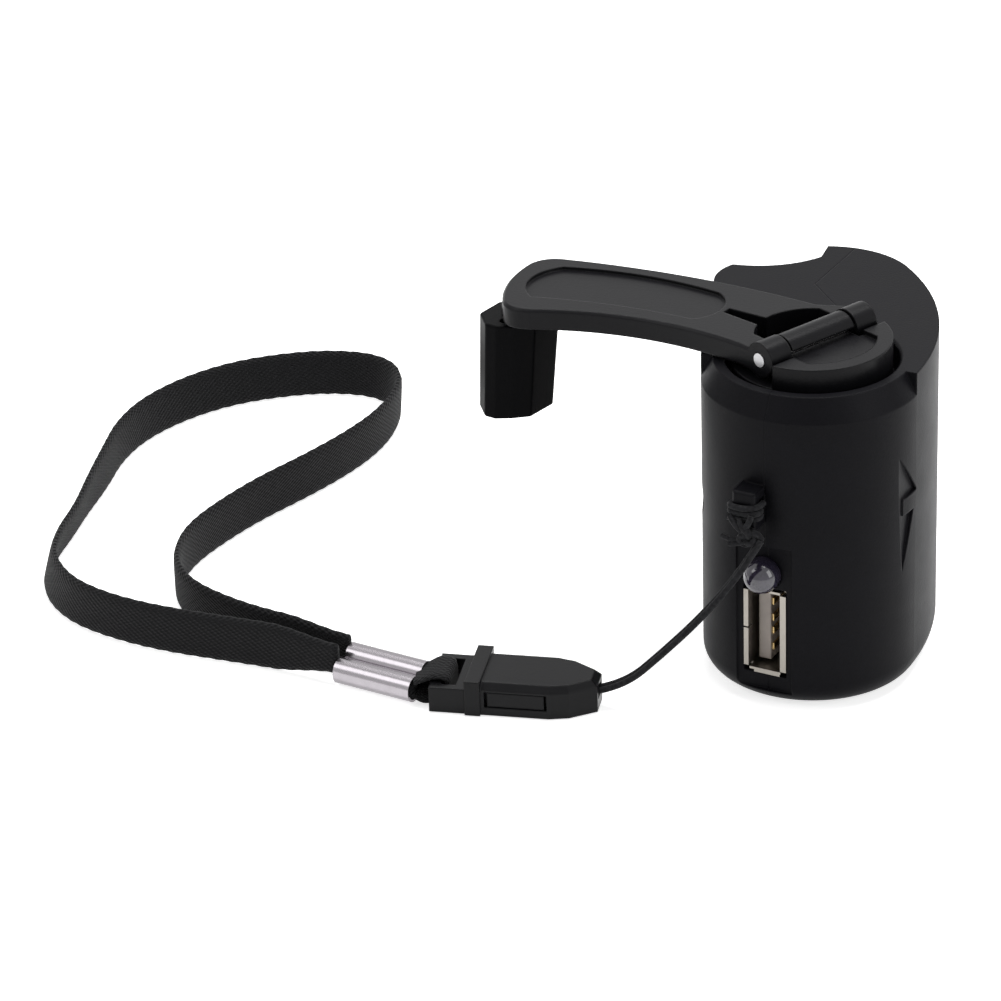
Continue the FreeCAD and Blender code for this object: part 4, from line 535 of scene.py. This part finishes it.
LOOP_WIDTH = 6.6
LOOP_NARROWING = 1.0
LOOP_REACH = 0.3
LOOP_THICKNESS = 0.8 * MM
BUNDLE_THICKNESS = 2.6 * MM
across_buckle = (in_buckle(0, 1, 0) - in_buckle(0, 0, 0)).normalized()
loop_corners = [in_sleeve(11.9, 0, 3.3), in_sleeve(13.0, 0, 3.9),
                in_buckle(23.0, 0, 4.35), in_buckle(21.4, 0, 4.3), in_buckle(20.9, 0, 3.9),
                in_buckle(20.85, 0, 2.4), in_buckle(20.9, 0, 0.95), in_buckle(21.5, 0, 0.5),
                in_buckle(23.1, 0, 0.5), in_sleeve(13.0, 0, 0.7), in_sleeve(11.9, 0, 1.2)]
loop_line = evenly(spline_points([tuple(spot / MM) for spot in loop_corners]), 0.25 * MM)
loop_widths = []
for number in range(len(loop_line)):
    share = number / (len(loop_line) - 1)
    bundled = max(hump(share, 0.0, LOOP_REACH), hump(share, 1.0, LOOP_REACH))
    loop_widths.append((LOOP_WIDTH - LOOP_NARROWING * bundled) * MM)
tab = ribbon("tab_loop", loop_line, [across_buckle] * len(loop_line), loop_widths,
             LOOP_THICKNESS)
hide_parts("strap_tab")
for name, offset, height, width in (("front_bundle", -1.62, 1.9, 3.0),
                                    ("back_bundle", 1.62, 2.3, 3.7)):
    line = evenly([in_sleeve(x, offset, height) for x in (0.15, 4.0, 8.0, 12.1)], 0.5 * MM)
    ribbon(name, line, [Vector((0.0, 0.0, 1.0))] * len(line),
                          [width * MM] * len(line), BUNDLE_THICKNESS)
print("tab loop points", len(loop_line))


# %% [markdown]
# A thin cord is hitched round the lug's bar: two and a half turns, a knot below
# them and two loose ends. Short smooth curves that cross one another are made tubes
# and joined in one mesh, which reads as a knot without its topology.

# %% Hitch
fibre = Shader("cord_fibre", (0.0028, 0.0028, 0.0030), 0.7, sheen_weight=0.04,
               specular_ior_level=0.1)
fibre.bump(fibre.noise(2600.0, 3.0, 0.6), 0.0001, 0.8)
fibre.colour(fibre.noise(1800.0, 3.0, 0.6).ramp(0.35, 0.65), (0.006, 0.006, 0.007),
             (0.020, 0.020, 0.022))


def cord_piece(name, lines, radius):
    """Short lengths of the same cord, joined in one mesh."""
    joined = bmesh.new()
    for route in lines:
        probe = smooth_curve("cord_probe", route, radius)
        bpy.context.view_layer.update()
        mesh = bpy.data.meshes.new_from_object(probe)
        joined.from_mesh(mesh)
        bpy.data.objects.remove(probe, do_unlink=True)
        bpy.data.meshes.remove(mesh)
    mesh = bpy.data.meshes.new(name)
    joined.to_mesh(mesh)
    joined.free()
    return finished_mesh(mesh, fibre.material)


def winding(turns, low, pitch):
    """Turns of cord round the lug's bar."""
    corners = ((-3.9, -18.85), (0.4, -18.85), (0.45, -16.6), (-3.95, -16.6))
    points = []
    for number in range(int(turns * 4) + 1):
        x, y = corners[number % 4]
        points.append((x, y, low + pitch * number / 4))
    return points


def knot(x, y, z):
    """A round knot: a line that winds three times through its own loop."""
    points = []
    for number in range(30):
        turn = 2 * math.pi * number / 29
        swell = 0.85 + 0.42 * math.cos(3 * turn)
        points.append((x + swell * math.cos(2 * turn), y + 0.42 * math.sin(3 * turn),
                       z + 1.15 * swell * math.sin(2 * turn)))
    return points


hitch = cord_piece("hitch_windings", [
    winding(2.5, 29.95, 0.80),
    [(-3.4, -19.1, 30.4), (-2.6, -19.5, 29.4), (-1.5, -19.5, 28.6), (-0.9, -19.2, 27.9)],
    [(-0.2, -19.1, 30.9), (-0.4, -19.6, 29.7), (-1.4, -19.5, 28.8), (-1.0, -19.3, 27.6)],
    [(-1.9, -19.1, 30.2), (-1.6, -19.6, 29.3), (-0.3, -19.6, 28.4), (-0.6, -19.2, 27.6)],
    knot(-0.8, -19.2, 27.75),
    [(-0.7, -19.2, 28.4), (0.4, -19.3, 28.6), (1.05, -19.1, 28.2), (1.2, -18.85, 27.55)],
], 0.43 * MM)
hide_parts("lanyard_hitch")
tags = cord_piece("hitch_tags", [
    [(-1.2, -19.3, 27.6), (-2.4, -19.5, 27.0), (-3.6, -19.4, 26.9), (-4.6, -19.3, 27.2)],
    [(-1.0, -19.5, 27.0), (-2.2, -19.7, 26.5), (-3.3, -19.6, 26.3)],
], 0.34 * MM)
print("hitch and tags:", len(hitch.data.vertices) + len(tags.data.vertices), "vertices")


# %% [markdown]
# Two strands of the cord run side by side from the knot down to the buckle. Each
# hangs in one smooth line, drawn and shifted a little to its own side.

# %% Strings
STRING_ROUTE = (
    (1.2, -18.85, 27.6), (-1.4, -19.6, 22.6), (-6.6, -21.1, 15.2), (-12.2, -22.8, 8.8),
    (-17.2, -24.3, 3.6), (-20.9, -25.35, 2.5),
)
STRING_DIAMETER = 0.9 * MM
STRAND_SHIFT = (0.19, -0.49)
for side, node_name in ((-1, "lanyard_string_left"), (1, "lanyard_string_right")):
    route = [(x + side * STRAND_SHIFT[0], y + side * STRAND_SHIFT[1], z)
             for x, y, z in STRING_ROUTE]
    strand = smooth_curve(node_name + "_cord", route, STRING_DIAMETER / 2)
    strand.data.materials.append(fibre.material)
    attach(strand, "case")
    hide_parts(node_name)
    total = line_length(spline_points(route))
    tuple(value * MM for value in route[0])
    print(node_name, round(total, 4))


# %% [markdown]
# The object stands on a white table that carries its shadow. The floor glows white
# for the camera, for glossy surfaces and through clear ones, but its glow doesn't
# light the object.

# %% Floor
FLOOR_REACH = 3
FLOOR_HEIGHT = -0.0002
FLOOR_GLOW = 0.72
floor_shader = Shader("studio_white", (0.9, 0.9, 0.9), 0.9)
floor_shader.set("Emission Color", (1.0, 1.0, 1.0, 1.0))
floor_shader.set("Specular IOR Level", 0.0)
rays = floor_shader.node("ShaderNodeLightPath").outputs
seen = Socket(floor_shader, rays["Is Camera Ray"])
seen = seen + Socket(floor_shader, rays["Is Glossy Ray"])
seen = seen + Socket(floor_shader, rays["Is Transmission Ray"])
floor_shader.feed(floor_shader.surface.inputs["Emission Strength"], seen * FLOOR_GLOW)
floor_corners = [(x * FLOOR_REACH, y * FLOOR_REACH, FLOOR_HEIGHT)
                 for x, y in ((-1, -1), (1, -1), (1, 1), (-1, 1))]
floor = mesh_object("studio_floor", floor_corners, [(0, 1, 2, 3)], floor_shader.material)
print("floor", 2 * FLOOR_REACH, "m wide")


# %% [markdown]
# Three broad soft lamps: a weak one high in front on the left, a weak one on the
# right for the bright right edge, and a strong ceiling for the flat tops. The world
# is white where it is seen or reflected, and lights the object only faintly.

# %% Lamps and world
WORLD_LIGHT = 0.20
WORLD_SEEN = 0.80


def area_light(name, spot, aim, width, height, power):
    data = bpy.data.lights.new(name, "AREA")
    data.shape = "RECTANGLE"
    data.size = width
    data.size_y = height
    data.energy = power
    made = add_object(name, data)
    made.location = spot
    made.rotation_euler = (Vector(aim) - Vector(spot)).to_track_quat("-Z", "Y").to_euler()


area_light("key_light", (-0.55, -0.55, 0.75), (-0.02, 0.0, 0.03), 0.5, 0.5, 1.8)
area_light("side_light", (0.75, -0.05, 0.40), (0.0, 0.0, 0.03), 0.35, 0.6, 1.8)
area_light("top_light", (-0.05, 0.25, 0.85), (-0.03, 0.0, 0.0), 0.7, 0.5, 9.0)
world = bpy.data.worlds.new("studio_world")
world.use_nodes = True
world_tree = world.node_tree


def world_maths(operation, *values):
    node = world_tree.nodes.new("ShaderNodeMath")
    node.operation = operation
    for socket, value in zip(node.inputs, values):
        if isinstance(value, float):
            socket.default_value = value
        else:
            world_tree.links.new(value, socket)
    return node.outputs[0]


background = world_tree.nodes["Background"]
background.inputs[0].default_value = (1.0, 1.0, 1.0, 1.0)
rays = world_tree.nodes.new("ShaderNodeLightPath").outputs
seen = world_maths("ADD", rays["Is Camera Ray"], rays["Is Glossy Ray"])
seen = world_maths("ADD", seen, rays["Is Transmission Ray"])
level = world_maths("MULTIPLY_ADD", seen, WORLD_SEEN, WORLD_LIGHT)
world_tree.links.new(level, background.inputs[1])
bpy.context.scene.world = world
bpy.context.scene.view_settings.view_transform = "Standard"
